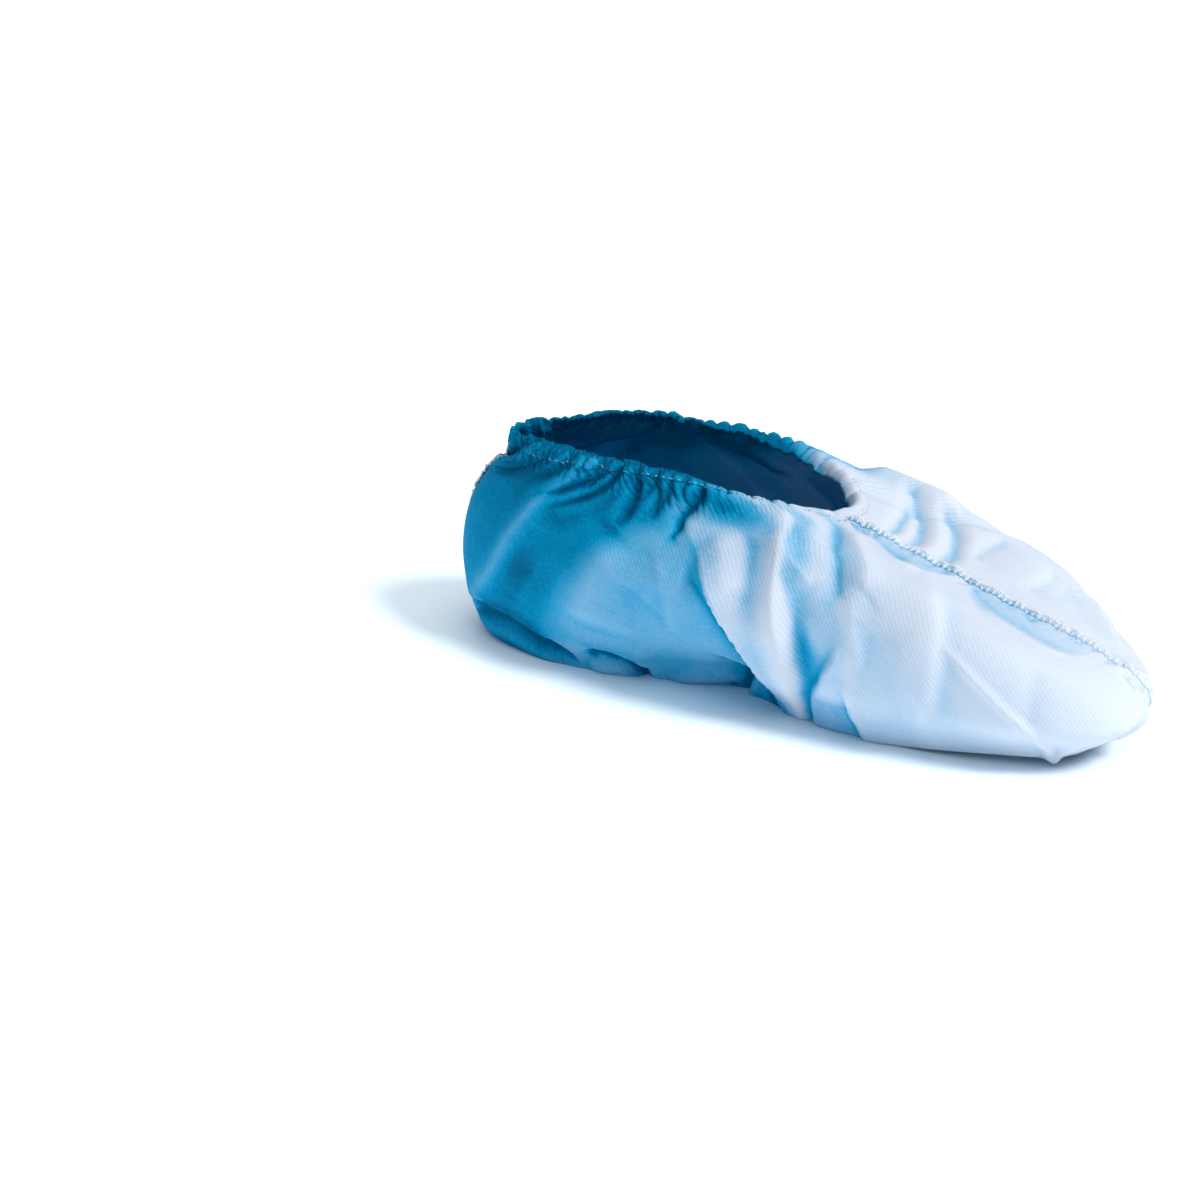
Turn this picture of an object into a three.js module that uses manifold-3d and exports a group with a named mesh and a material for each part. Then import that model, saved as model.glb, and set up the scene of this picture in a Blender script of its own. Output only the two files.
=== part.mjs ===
// A disposable anti-slip overshoe of light blue nonwoven, in the form it has on a shoe.
// Millimetres. +X points to the toe, +Z up, -Y to the inner side of a left foot.
// The origin is on the inside of the sole, where the middle of the shoe stands.
import * as THREE from "three";
import { mergeVertices } from "three/addons/utils/BufferGeometryUtils.js";
import Module from "manifold-3d";

// ---- driving dimensions ----
const CLOTH = 1.6;
const HEM_THICK = 2.6;
const HEM_TALL = 7.0;
const GAP = 0.35;
const FLOOR = -3.0;
const SOLE_TOP = 0.0;
// Sewn edges: places on the cover, and how far over each one leans, in degrees.
const SEAM = { tall: 4.5, thick: 1.5, rise: 0.25, end: 0.01 };
const FRONT_SEAM = { around: 0, from: 0.1, steps: 46, leanLow: 80, leanHigh: 42 };
const HEEL_SEAM = { around: 0.5, from: 0.08, steps: 18, leanLow: 80, leanHigh: 80 };
// The grip panel lies in from the floor edge, and its ribs run across.
const SOLE_RECESS = 11;
const GRIP_THICK = 0.6;
const RIB = { pitch: 14, wide: 5 };
// The fine pleats under the hem: their number, half width and depth, each varied a little.
const PLEATS = { count: 22, wide: 4.5, deep: 2.6, seed: 7, from: 1.12 };
const PLEAT_LENGTH = { least: 0.16, more: 0.26 };
const PLEAT_STRAY = 0.3;
const PLEAT_LEAN = 0.012;
const PLEAT_DEPTH = { least: 0.7, more: 0.6 };
// How a fold starts and ends, how round its crest is and how its flanks fall away.
const FOLD_FADE = 0.28;
const CREST_RADIUS = 2.0;
const FLANK_POWER = 1.4;
// Share of a fold that is left at the floor edge, and the height where it is whole again.
const EDGE_SHARE = 0.6;
const EDGE_HEIGHT = 0.07;
// The number of facets round the cover and up it, and the strips across the sole.
const AROUND = 88;
const UP = 18;
const ACROSS = [0.13, 0.5, 0.87];
// The steps that sections and folds are measured in.
const RING_POINTS = 720;
const FOLD_STEPS = 16;
const STEP_AROUND = 0.004;
const STEP_UP = 0.01;
const TOP_SPAN = 0.05;

const BLUE = { color: 0x9cc6e8, roughness: 0.75, metalness: 0 };
const HEM_BLUE = { color: 0x8fbde2, roughness: 0.8, metalness: 0 };
const WHITE = { color: 0xeef3f8, roughness: 0.7, metalness: 0 };
const GRIP_WHITE = { color: 0xdfe6ea, roughness: 0.6, metalness: 0 };

const table = (columns, rows) =>
  rows.map((row) => Object.fromEntries(columns.map((name, i) => [name, row[i]])));

// Level sections from the floor up. heel, toe and widest are places along X, near and far
// are half widths, the powers square off each end, z is given at the heel, the sides and
// the toe, seam carries the front seam across and swing turns the toe end inward.
const RINGS = table(
  ["at", "heel", "toe", "widest", "near", "far", "toePower", "heelPower",
    "zHeel", "zSide", "zToe", "seam", "swing"],
  [
    [0.00, -153, 145, 72, 38, 46, 2.4, 2.9, -3, -3, -3, -14, 4],
    [0.10, -161, 157, 72, 43, 50, 2.4, 2.8, 13, 9, 7, -13, 4],
    [0.27, -166, 165, 70, 51, 56, 2.35, 2.6, 36, 27, 24, -10, 4],
    [0.47, -163, 150, 66, 53, 55, 2.2, 2.5, 58, 56, 44, 0, 4],
    [0.66, -153, 110, 40, 44, 48, 2.2, 2.4, 75, 76, 60, 8, 2],
    [0.86, -144, 58, -20, 36, 40, 2.0, 2.3, 88, 92, 77, 10, 0],
    [1.00, -142, 23, -50, 32, 35, 2.0, 2.2, 96, 103, 89, 10, 0],
  ],
);

// The inner side is drawn in under the arch of the foot.
const ARCH = { x: -28, reach: 46, depth: 20, fromZ: 5, fade: 45 };

// Folds of the worn cloth. A fold runs from start to end, each a place around (0 is the
// middle of the toe, 0.5 the middle of the heel, below 0.5 the inner side) and a place up
// (0 is the floor edge, 1 the opening). left and right are the widths of its two flanks,
// seen from outside and walking from start to end. A minus height is a valley.
const FOLDS = table(
  ["name", "fromAround", "fromUp", "toAround", "toUp", "left", "right", "height"],
  [
    ["heel ridge, upper", 0.375, 0.92, 0.421, 0.50, 9, 8, 2.6],
    ["heel ridge, lower", 0.418, 0.56, 0.474, 0.08, 9, 8, 3.0],
    ["heel tuck", 0.470, 0.14, 0.390, 0.06, 5, 9, -4.0],
    ["heel hem roll", 0.480, 0.04, 0.395, 0.01, 9, 7, 2.5],
    ["arch tuck", 0.392, 0.10, 0.345, 0.05, 5, 8, -3.0],
    ["ankle dome", 0.332, 0.66, 0.371, 0.25, 18, 12, 3.5],
    ["ankle crease", 0.304, 0.60, 0.308, 0.26, 8, 6, -1.8],
    ["ankle pleat, rear", 0.300, 1.04, 0.345, 0.64, 7, 7, -4.0],
    ["ankle pleat, front", 0.236, 1.02, 0.286, 0.64, 7, 7, -4.0],
    ["instep overlap", 0.283, 0.68, 0.222, -0.03, 14, 5, 6.0],
    ["instep hollow", 0.292, 0.56, 0.246, 0.02, 6, 16, -3.5],
    ["instep crest", 0.190, 0.98, 0.236, 0.40, 7, 8, 3.5],
    ["instep crest, foot", 0.234, 0.46, 0.214, -0.03, 8, 8, 5.5],
    ["instep facet", 0.200, 0.92, 0.258, 0.40, 7, 10, -3.0],
    ["deep trough", 0.196, 0.62, 0.208, -0.02, 9, 9, -5.0],
    ["ball puff", 0.180, 0.44, 0.198, -0.02, 11, 7, 4.0],
    ["throat pleat", 0.080, 1.04, 0.172, 0.50, 9, 8, -4.0],
    ["throat pocket", 0.130, 0.66, 0.185, 0.28, 8, 9, 2.4],
    ["ball edge", 0.190, 0.30, 0.172, -0.02, 8, 6, -2.4],
    ["ball hem roll", 0.226, 0.04, 0.186, 0.02, 7, 8, 3.5],
    ["toe crest", 0.112, 0.56, 0.044, -0.02, 7, 6, 2.6],
    ["toe crest, root", 0.030, 0.76, 0.116, 0.48, 9, 9, 2.6],
    ["toe hollow", 0.078, 0.66, 0.134, 0.10, 8, 10, -2.6],
    ["toe shelf", 0.158, 0.34, 0.132, 0.00, 9, 9, 2.0],
    ["cap dent", 0.052, 0.44, 0.030, 0.12, 10, 10, -1.8],
    ["seam shelf, near", 0.014, 0.84, 0.024, 0.42, 8, 5, 2.4],
    ["outer pleat, rear", 0.880, 0.92, 0.975, 0.94, 7, 7, -3.5],
    ["outer pleat, middle", 0.862, 0.76, 0.984, 0.88, 7, 7, -3.5],
    ["outer pleat, front", 0.900, 0.72, 0.986, 0.80, 7, 7, -3.0],
    ["outer puff", 0.835, 0.84, 0.878, 0.68, 13, 12, 6.5],
    ["outer facet, high", 0.905, 0.66, 0.960, 0.74, 10, 10, -2.4],
    ["outer facet, toe", 0.930, 0.58, 0.972, 0.62, 10, 10, -2.0],
    ["outer instep crest", 0.760, 0.90, 0.800, 0.06, 12, 10, 4.0],
    ["outer instep hollow", 0.725, 0.80, 0.765, 0.10, 11, 12, -3.5],
    ["outer ankle ridge", 0.660, 0.88, 0.700, 0.20, 12, 12, 3.5],
    ["outer heel ridge", 0.590, 0.86, 0.560, 0.10, 10, 9, 3.0],
    ["outer heel tuck", 0.545, 0.12, 0.625, 0.07, 8, 5, -3.5],
    ["outer ball crest", 0.880, 0.50, 0.850, 0.02, 9, 9, 3.0],
  ],
);

// ---- small helpers ----
const clamp = (value, low, high) => Math.min(high, Math.max(low, value));
const smooth = (value) => clamp(value, 0, 1) ** 2 * (3 - 2 * clamp(value, 0, 1));
const wrap = (value) => ((value % 1) + 1) % 1;
const vec = (x, y, z) => new THREE.Vector3(x, y, z);

function randomFrom(seed) {
  let state = seed;
  return () => {
    state = (state * 1103515245 + 12345) % 2147483648;
    return state / 2147483648;
  };
}

// ---- the smooth form of the cover ----
function ringPoint(ring, angle) {
  const c = Math.cos(angle);
  const s = Math.sin(angle);
  const toeEnd = c >= 0;
  const power = toeEnd ? ring.toePower : ring.heelPower;
  const reach = (Math.abs(c) ** power + Math.abs(s) ** power) ** (-1 / power);
  const along = c * reach;
  const half = toeEnd ? ring.toe - ring.widest : ring.widest - ring.heel;
  const side = s >= 0 ? ring.near : ring.far;
  const x = ring.widest + half * along;
  const z = ring.zSide + ((toeEnd ? ring.zToe : ring.zHeel) - ring.zSide) * along ** 2;
  const swing = toeEnd ? ring.swing * along ** 2 : 0;
  const low = clamp(1 - (z - ARCH.fromZ) / ARCH.fade, 0, 1);
  const drawn = s > 0 ? ARCH.depth * Math.exp(-(((x - ARCH.x) / ARCH.reach) ** 2)) * low * s : 0;
  return vec(x, drawn - swing - side * s * reach, z);
}

// Points around one section, evenly spaced along it from toe to heel and back again.
function ringCurve(ring) {
  const points = [];
  const run = [0];
  for (let i = 0; i <= RING_POINTS; i += 1) {
    points.push(ringPoint(ring, (2 * Math.PI * i) / RING_POINTS));
    if (i > 0) run.push(run[i - 1] + points[i].distanceTo(points[i - 1]));
  }
  const heel = run[RING_POINTS / 2];
  const total = run[RING_POINTS];
  const share = (length) =>
    length <= heel ? (0.5 * length) / heel : 0.5 + (0.5 * (length - heel)) / (total - heel);
  const shares = run.map(share);
  return (around) => {
    const shift = (ring.seam / total) * (1 + Math.cos(2 * Math.PI * around)) * 0.5;
    const at = wrap(around + shift);
    let i = 1;
    while (i < RING_POINTS && shares[i] < at) i += 1;
    const part = (at - shares[i - 1]) / (shares[i] - shares[i - 1]);
    return points[i - 1].clone().lerp(points[i], part);
  };
}

const CURVES = RINGS.map(ringCurve);

function slopeAt(points, i) {
  const a = Math.max(0, i - 1);
  const b = Math.min(RINGS.length - 1, i + 1);
  return points[b].clone().sub(points[a]).divideScalar(RINGS[b].at - RINGS[a].at);
}

// The smooth surface: one cubic through the sections at each place around.
function basePoint(around, up) {
  const points = CURVES.map((curve) => curve(around));
  let i = 0;
  while (i < RINGS.length - 2 && RINGS[i + 1].at < up) i += 1;
  const span = RINGS[i + 1].at - RINGS[i].at;
  const s = (up - RINGS[i].at) / span;
  const p = points[i].clone().multiplyScalar(2 * s ** 3 - 3 * s ** 2 + 1);
  p.addScaledVector(slopeAt(points, i), (s ** 3 - 2 * s ** 2 + s) * span);
  p.addScaledVector(points[i + 1], -2 * s ** 3 + 3 * s ** 2);
  return p.addScaledVector(slopeAt(points, i + 1), (s ** 3 - s ** 2) * span);
}

function frameAt(around, up) {
  const high = Math.min(1, up + STEP_UP);
  const low = Math.max(0, up - STEP_UP);
  const upward = basePoint(around, high).sub(basePoint(around, low)).normalize();
  const ahead = basePoint(around + STEP_AROUND, up).sub(basePoint(around - STEP_AROUND, up));
  const out = upward.clone().cross(ahead).normalize();
  return { point: basePoint(around, up), out, upward };
}

// ---- folds ----
function pleatRows() {
  const random = randomFrom(PLEATS.seed);
  const rows = [];
  for (let i = 0; i < PLEATS.count; i += 1) {
    const around = (i + 0.5 + PLEAT_STRAY * (random() - 0.5)) / PLEATS.count;
    const length = PLEAT_LENGTH.least + PLEAT_LENGTH.more * random();
    const lean = PLEAT_LEAN * (random() - 0.5);
    rows.push({
      fromAround: around,
      fromUp: PLEATS.from,
      toAround: around + lean,
      toUp: 1 - length,
      left: PLEATS.wide,
      right: PLEATS.wide,
      height: -PLEATS.deep * (PLEAT_DEPTH.least + PLEAT_DEPTH.more * random()),
    });
  }
  return rows;
}

function foldRoute(row) {
  const steps = [];
  for (let i = 0; i <= FOLD_STEPS; i += 1) {
    const t = i / FOLD_STEPS;
    const around = row.fromAround + t * (row.toAround - row.fromAround);
    const up = clamp(row.fromUp + t * (row.toUp - row.fromUp), 0, 1);
    const fade = smooth(t / FOLD_FADE) * smooth((1 - t) / FOLD_FADE);
    steps.push({ ...frameAt(around, up), fade });
  }
  steps.forEach((step, i) => {
    const ahead = steps[Math.min(FOLD_STEPS, i + 1)].point;
    const behind = steps[Math.max(0, i - 1)].point;
    step.left = step.out.clone().cross(ahead.clone().sub(behind)).normalize();
  });
  return { ...row, steps };
}

const ROUTES = [...FOLDS, ...pleatRows()].map(foldRoute);

function foldHeight(route, point) {
  let near = route.steps[0];
  let best = Infinity;
  for (const step of route.steps) {
    const distance = step.point.distanceToSquared(point);
    if (distance < best) {
      best = distance;
      near = step;
    }
  }
  const offset = point.clone().sub(near.point).dot(near.left);
  const width = offset > 0 ? route.left : route.right;
  const rounded = Math.sqrt(best + CREST_RADIUS ** 2) - CREST_RADIUS;
  return route.height * near.fade * Math.exp(-((rounded / width) ** FLANK_POWER));
}

const foldedHeight = (point) =>
  ROUTES.reduce((sum, route) => sum + foldHeight(route, point), 0);

// ---- sheet bodies ----
// The floor edge keeps level, so folds are lower there.
function clothPlace(around, up) {
  const { point, out, upward } = frameAt(around, up);
  const share = EDGE_SHARE + (1 - EDGE_SHARE) * smooth(up / EDGE_HEIGHT);
  const outer = point.clone().addScaledVector(out, foldedHeight(point) * share);
  if (up === 0) {
    out.add(vec(0, 0, -1)).normalize();
    outer.z = FLOOR;
  }
  return { outer, out, upward };
}

// The cloth ends where the hem, of one height all round, begins.
function clothTop(around) {
  const { point } = frameAt(around, 1);
  const rise = point.distanceTo(basePoint(around, 1 - TOP_SPAN)) / TOP_SPAN;
  return 1 - HEM_TALL / rise;
}

function bodyFrom(positions, faces) {
  const geometry = new THREE.BufferGeometry();
  geometry.setAttribute("position", new THREE.Float32BufferAttribute(positions.flat(), 3));
  geometry.setIndex(faces.flat());
  return geometry;
}

const quad = (a, b, c, d) => [[a, b, c], [a, c, d]];

// Grids of outer and inner points, joined along their edges.
class SheetBuilder {
  constructor() {
    this.points = [];
    this.faces = [];
  }

  add(point) {
    this.points.push(point.toArray());
    return this.points.length - 1;
  }

  // Two rings joined by quads that face out when ring b lies above ring a.
  bridge(a, b) {
    a.forEach((_, i) => {
      const j = (i + 1) % a.length;
      this.faces.push(...quad(a[i], b[i], b[j], a[j]));
    });
  }

  geometry() {
    return bodyFrom(this.points, this.faces);
  }
}

// A ring of places at a share of the cloth's height, or at the opening's own edge.
function ringPlaces(share) {
  const places = [];
  for (let i = 0; i < AROUND; i += 1) {
    const around = i / AROUND;
    places.push(clothPlace(around, share * clothTop(around)));
  }
  return places;
}

function openingPlaces() {
  return Array.from({ length: AROUND }, (_, i) => clothPlace(i / AROUND, 1));
}

// A level sheet inside a ring: strips run across from the inner to the outer side.
function soleSheet(builder, ring, level, faceDown) {
  const half = AROUND / 2;
  const point = (index) => new THREE.Vector3().fromArray(builder.points[index]);
  const rows = [[ring[0]]];
  for (let i = 1; i < half; i += 1) {
    const near = point(ring[i]);
    const far = point(ring[AROUND - i]);
    const inner = ACROSS.map((t) => builder.add(near.clone().lerp(far, t).setZ(level)));
    rows.push([ring[i], ...inner, ring[AROUND - i]]);
  }
  rows.push([ring[half]]);
  const put = (a, b, c) => {
    if (a !== b && b !== c && a !== c) builder.faces.push(faceDown ? [a, c, b] : [a, b, c]);
  };
  for (let i = 0; i < half; i += 1) {
    const ahead = rows[i];
    const behind = rows[i + 1];
    for (let k = 0; k <= ACROSS.length; k += 1) {
      const a = ahead[Math.min(k, ahead.length - 1)];
      const b = ahead[Math.min(k + 1, ahead.length - 1)];
      const c = behind[Math.min(k, behind.length - 1)];
      const d = behind[Math.min(k + 1, behind.length - 1)];
      put(a, b, d);
      put(a, d, c);
    }
  }
}

function coverShell() {
  const builder = new SheetBuilder();
  const outer = [];
  const inner = [];
  for (let j = 0; j <= UP; j += 1) {
    const places = ringPlaces(j / UP);
    outer.push(places.map((place) => builder.add(place.outer)));
    inner.push(places.map(({ outer: o, out }) => builder.add(o.clone().addScaledVector(out, -CLOTH))));
  }
  for (let j = 0; j < UP; j += 1) {
    builder.bridge(outer[j], outer[j + 1]);
    builder.bridge(inner[j + 1], inner[j]);
  }
  builder.bridge(outer[UP], inner[UP]);
  soleSheet(builder, outer[0], SOLE_TOP - CLOTH, true);
  soleSheet(builder, inner[0], SOLE_TOP, false);
  return builder.geometry();
}

// The gathered hem, with the elastic sewn inside it, a rounded band along the opening.
const HEM_SECTION = table(
  ["out", "up"],
  [[-0.5, 0.2], [-0.5, 0.8], [-0.2, 1], [0.2, 1], [0.5, 0.8], [0.5, 0.2], [0.2, 0], [-0.2, 0]],
);

function elasticRim() {
  const builder = new SheetBuilder();
  const foot = ringPlaces(1);
  const head = openingPlaces();
  const rings = HEM_SECTION.map(({ out, up }) =>
    foot.map((place, i) => {
      const rise = head[i].outer.clone().sub(place.outer);
      const tall = rise.length() - GAP;
      const way = rise.normalize();
      const point = place.outer.clone().addScaledVector(place.out, out * HEM_THICK - CLOTH / 2);
      return builder.add(point.addScaledVector(way, GAP + up * tall));
    }),
  );
  rings.forEach((ring, k) => builder.bridge(rings[(k + 1) % rings.length], ring));
  return builder.geometry();
}

// A sewn edge on the outside of the cloth along one line: a flat strip that leans over,
// more so at its low end.
function seamFin({ around, from, steps, leanLow, leanHigh }) {
  const builder = new SheetBuilder();
  const sections = [];
  const to = clothTop(around) - SEAM.end;
  for (let i = 0; i <= steps; i += 1) {
    const t = i / steps;
    const { outer, out, upward } = clothPlace(around, from + (to - from) * t);
    const turn = THREE.MathUtils.degToRad(leanLow + (leanHigh - leanLow) * smooth(t));
    const side = upward.clone().cross(out);
    const tall = out.clone().multiplyScalar(Math.cos(turn)).addScaledVector(side, Math.sin(turn));
    const thick = side.clone().multiplyScalar(Math.cos(turn)).addScaledVector(out, -Math.sin(turn));
    const lift = GAP + SEAM.rise + 0.5 * SEAM.thick * Math.abs(Math.sin(turn));
    const root = outer.clone().addScaledVector(out, lift);
    const corner = (high, across) => {
      const point = root.clone().addScaledVector(tall, high * SEAM.tall);
      return builder.add(point.addScaledVector(thick, across * SEAM.thick));
    };
    sections.push([corner(0, -0.5), corner(0, 0.5), corner(1, 0.5), corner(1, -0.5)]);
  }
  for (let i = 0; i < steps; i += 1) builder.bridge(sections[i], sections[i + 1]);
  const [a, b, c, d] = sections[0];
  const [e, f, g, h] = sections[steps];
  builder.faces.push(...quad(a, b, c, d), ...quad(h, g, f, e));
  return builder.geometry();
}

// ---- grip sole ----
const wasm = await Module();
wasm.setup();

function toManifold(geometry) {
  const plain = geometry.clone();
  plain.deleteAttribute("normal");
  plain.deleteAttribute("uv");
  const merged = mergeVertices(plain, 1e-4);
  return new wasm.Manifold(new wasm.Mesh({
    numProp: 3,
    vertProperties: new Float32Array(merged.attributes.position.array),
    triVerts: new Uint32Array(merged.index.array),
  }));
}

function toGeometry(manifold) {
  const mesh = manifold.getMesh();
  const geometry = new THREE.BufferGeometry();
  geometry.setAttribute("position", new THREE.BufferAttribute(mesh.vertProperties, 3));
  geometry.setIndex(new THREE.BufferAttribute(mesh.triVerts, 1));
  return geometry;
}

function solePlate(depth, lowZ) {
  const outline = new THREE.Shape();
  for (let i = 0; i < AROUND; i += 2) {
    const { point, out } = frameAt(i / AROUND, 0);
    out.setZ(0).normalize();
    point.addScaledVector(out, -SOLE_RECESS);
    if (i === 0) outline.moveTo(point.x, point.y);
    else outline.lineTo(point.x, point.y);
  }
  const plate = new THREE.ExtrudeGeometry(outline, { depth, bevelEnabled: false });
  return plate.translate(0, 0, lowZ);
}

// A thin panel under the sole with straight ribs across it that stand on the floor.
function gripSole() {
  const top = SOLE_TOP - CLOTH - GAP;
  const ribTop = top - GRIP_THICK / 2;
  const across = 2 * (RINGS[0].near + RINGS[0].far);
  const outline = toManifold(solePlate(top - FLOOR, FLOOR));
  let panel = toManifold(solePlate(GRIP_THICK, top - GRIP_THICK));
  const first = Math.ceil(RINGS[0].heel / RIB.pitch);
  const last = Math.floor(RINGS[0].toe / RIB.pitch);
  for (let i = first; i <= last; i += 1) {
    const rib = new THREE.BoxGeometry(RIB.wide, across, ribTop - FLOOR);
    rib.translate(i * RIB.pitch, 0, (ribTop + FLOOR) / 2);
    panel = panel.add(toManifold(rib).intersect(outline));
  }
  return toGeometry(panel);
}

// ---- assembly ----
function piece(name, geometry, look) {
  const mesh = new THREE.Mesh(geometry, new THREE.MeshStandardMaterial(look));
  geometry.computeVertexNormals();
  mesh.name = name;
  return mesh;
}

const cover = new THREE.Group();
cover.add(piece("cover_shell", coverShell(), BLUE));
cover.add(piece("elastic_rim", elasticRim(), HEM_BLUE));
cover.add(piece("front_seam", seamFin(FRONT_SEAM), WHITE));
cover.add(piece("heel_seam", seamFin(HEEL_SEAM), WHITE));
cover.add(piece("grip_sole", gripSole(), GRIP_WHITE));

export default cover;
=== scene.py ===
"""A disposable anti-slip overshoe of light blue nonwoven, as worn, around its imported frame."""
import math
import bpy
import numpy as np
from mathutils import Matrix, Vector


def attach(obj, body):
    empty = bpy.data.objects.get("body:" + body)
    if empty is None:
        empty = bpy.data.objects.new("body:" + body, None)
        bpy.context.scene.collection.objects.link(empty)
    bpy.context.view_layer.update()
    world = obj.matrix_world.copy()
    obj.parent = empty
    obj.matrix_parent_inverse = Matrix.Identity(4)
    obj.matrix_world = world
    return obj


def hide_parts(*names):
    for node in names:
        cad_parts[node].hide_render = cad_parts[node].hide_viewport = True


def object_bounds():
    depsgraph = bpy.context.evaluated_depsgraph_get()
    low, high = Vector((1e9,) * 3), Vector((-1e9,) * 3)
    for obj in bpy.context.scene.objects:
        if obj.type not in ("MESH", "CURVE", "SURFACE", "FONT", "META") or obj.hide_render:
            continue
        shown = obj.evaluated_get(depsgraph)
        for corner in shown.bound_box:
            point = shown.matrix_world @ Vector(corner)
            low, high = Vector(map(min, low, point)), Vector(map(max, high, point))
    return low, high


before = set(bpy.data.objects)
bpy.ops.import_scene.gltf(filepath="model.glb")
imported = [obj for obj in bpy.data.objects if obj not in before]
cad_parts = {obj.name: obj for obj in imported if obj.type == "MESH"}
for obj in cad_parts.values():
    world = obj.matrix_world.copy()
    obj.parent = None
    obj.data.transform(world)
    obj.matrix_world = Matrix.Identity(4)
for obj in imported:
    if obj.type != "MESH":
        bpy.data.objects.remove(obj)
CAD_BOX = [list(corner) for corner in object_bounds()]

# ---- sizes, in millimetres; meshes are scaled to metres as they are made ----
MM = 0.001
FLOOR = CAD_BOX[0][2] / MM
SOLE_TOP = 0.0
CLOTH = 0.6
HEM_TALL = 7.0
HEM_THICK = 1.5
# The middle of the cloth's thickness, where it lies on the floor.
LYING = FLOOR + 0.5 * CLOTH

# Columns round the cover, closer at the front seam; rows of the cloth, closer at the hem;
# rows of the hem; and rows of the smooth form that all of them are laid out on.
AROUND = 576
CLOTH_ROWS = 128
HEM_ROWS = 8
FORM_ROWS = 160
SEAM_CROWD = 0.2
ROW_CROWD = 0.3
# The inner face of the cloth needs only every second point.
INNER_STEP = 2


def table(columns, rows):
    """Rows of a table as dictionaries, a key for each named column."""
    names = columns.split()
    return [dict(zip(names, row)) for row in rows]


# Sections from the floor edge up to the opening: places along X of the heel, the toe and the
# widest place, half widths of the inner and outer sides, powers that square off each end,
# heights at the heel, the sides and the toe, how far the front seam lies across, and how far
# the toe swings to the inner side.
RINGS = table(
    "at heel toe widest inner outer toe_power heel_power z_heel z_side z_toe seam swing",
    [
        (0.00, -153, 145, 72, 38, 46, 2.4, 2.9, -3, -3, -3, -14, 4),
        (0.10, -161, 157, 72, 43, 50, 2.4, 2.8, 13, 9, 7, -13, 4),
        (0.27, -166, 165, 70, 51, 56, 2.35, 2.6, 36, 27, 24, -10, 4),
        (0.47, -163, 150, 66, 53, 55, 2.2, 2.5, 58, 56, 44, 0, 4),
        (0.66, -153, 110, 40, 44, 48, 2.2, 2.4, 75, 76, 60, 8, 2),
        (0.86, -144, 58, -20, 36, 40, 2.0, 2.3, 88, 92, 77, 10, 0),
        (1.00, -142, 23, -50, 32, 35, 2.0, 2.2, 96, 103, 89, 10, 0),
    ],
)
RING_AT = np.array([ring["at"] for ring in RINGS])
RING_STEPS = 2000

# The inner side is drawn in under the arch of the foot.
ARCH = dict(x=-28, reach=46, depth=20, from_z=5, fade=45)


def smooth(value):
    """0 to 1 with level ends."""
    t = np.clip(value, 0, 1)
    return t * t * (3 - 2 * t)


def bell(value, middle, wide):
    """1 in the middle, fading to nothing on both sides."""
    return np.exp(-(((value - middle) / wide) ** 2))


def to_seam(around):
    """How far each place is from the front seam, as a share of the way round."""
    return np.minimum(around, 1 - around)


def ring_points(ring, around):
    """Points of one section at places around it, 0 and 1 at the toe and 0.5 at the heel."""
    angle = np.linspace(0, 2 * np.pi, RING_STEPS + 1)
    c, s = np.cos(angle), np.sin(angle)
    toe_end = c >= 0
    power = np.where(toe_end, ring["toe_power"], ring["heel_power"])
    reach = (np.abs(c) ** power + np.abs(s) ** power) ** (-1 / power)
    along = c * reach
    half = np.where(toe_end, ring["toe"] - ring["widest"], ring["widest"] - ring["heel"])
    side = np.where(s >= 0, ring["inner"], ring["outer"])
    x = ring["widest"] + half * along
    end_z = np.where(toe_end, ring["z_toe"], ring["z_heel"])
    z = ring["z_side"] + (end_z - ring["z_side"]) * along ** 2
    swing = ring["swing"] * np.where(toe_end, along, 0) ** 2
    low = np.clip(1 - (z - ARCH["from_z"]) / ARCH["fade"], 0, 1)
    waist = ARCH["depth"] * bell(x, ARCH["x"], ARCH["reach"]) * low
    y = waist * np.maximum(s, 0) - swing - side * s * reach
    points = np.stack([x, y, z], -1)
    step = np.linalg.norm(np.diff(points, axis=0), axis=1)
    run = np.concatenate([[0], np.cumsum(step)])
    heel = run[RING_STEPS // 2]
    first = 0.5 * run / heel
    second = 0.5 + 0.5 * (run - heel) / (run[-1] - heel)
    share = np.where(run <= heel, first, second)
    shift = ring["seam"] / run[-1] * (1 + np.cos(2 * np.pi * around)) * 0.5
    place = (around + shift) % 1
    return np.stack([np.interp(place, share, points[:, k]) for k in range(3)], -1)


def smooth_form(around, up):
    """The cover without folds: a grid of points on a cubic from section to section."""
    knots = np.stack([ring_points(ring, around) for ring in RINGS])
    last = len(RINGS) - 1
    above = np.minimum(np.arange(last + 1) + 1, last)
    below = np.maximum(np.arange(last + 1) - 1, 0)
    slopes = (knots[above] - knots[below]) / (RING_AT[above] - RING_AT[below])[:, None, None]
    i = np.clip(np.searchsorted(RING_AT, up, side="right") - 1, 0, last - 1)
    span = (RING_AT[i + 1] - RING_AT[i])[:, None, None]
    s = ((up - RING_AT[i])[:, None, None]) / span
    return (
        (2 * s**3 - 3 * s**2 + 1) * knots[i]
        + (s**3 - 2 * s**2 + s) * span * slopes[i]
        + (3 * s**2 - 2 * s**3) * knots[i + 1]
        + (s**3 - s**2) * span * slopes[i + 1]
    )


def unit(vectors):
    """The same directions, each one long."""
    return vectors / np.maximum(np.linalg.norm(vectors, axis=-1, keepdims=True), 1e-9)


def normals_of(grid):
    """Outward normals of a grid whose columns run round from the toe by the inner side."""
    ahead = np.roll(grid, -1, 1) - np.roll(grid, 1, 1)
    upward = np.gradient(grid, axis=0)
    return unit(np.cross(upward, ahead))


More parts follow.
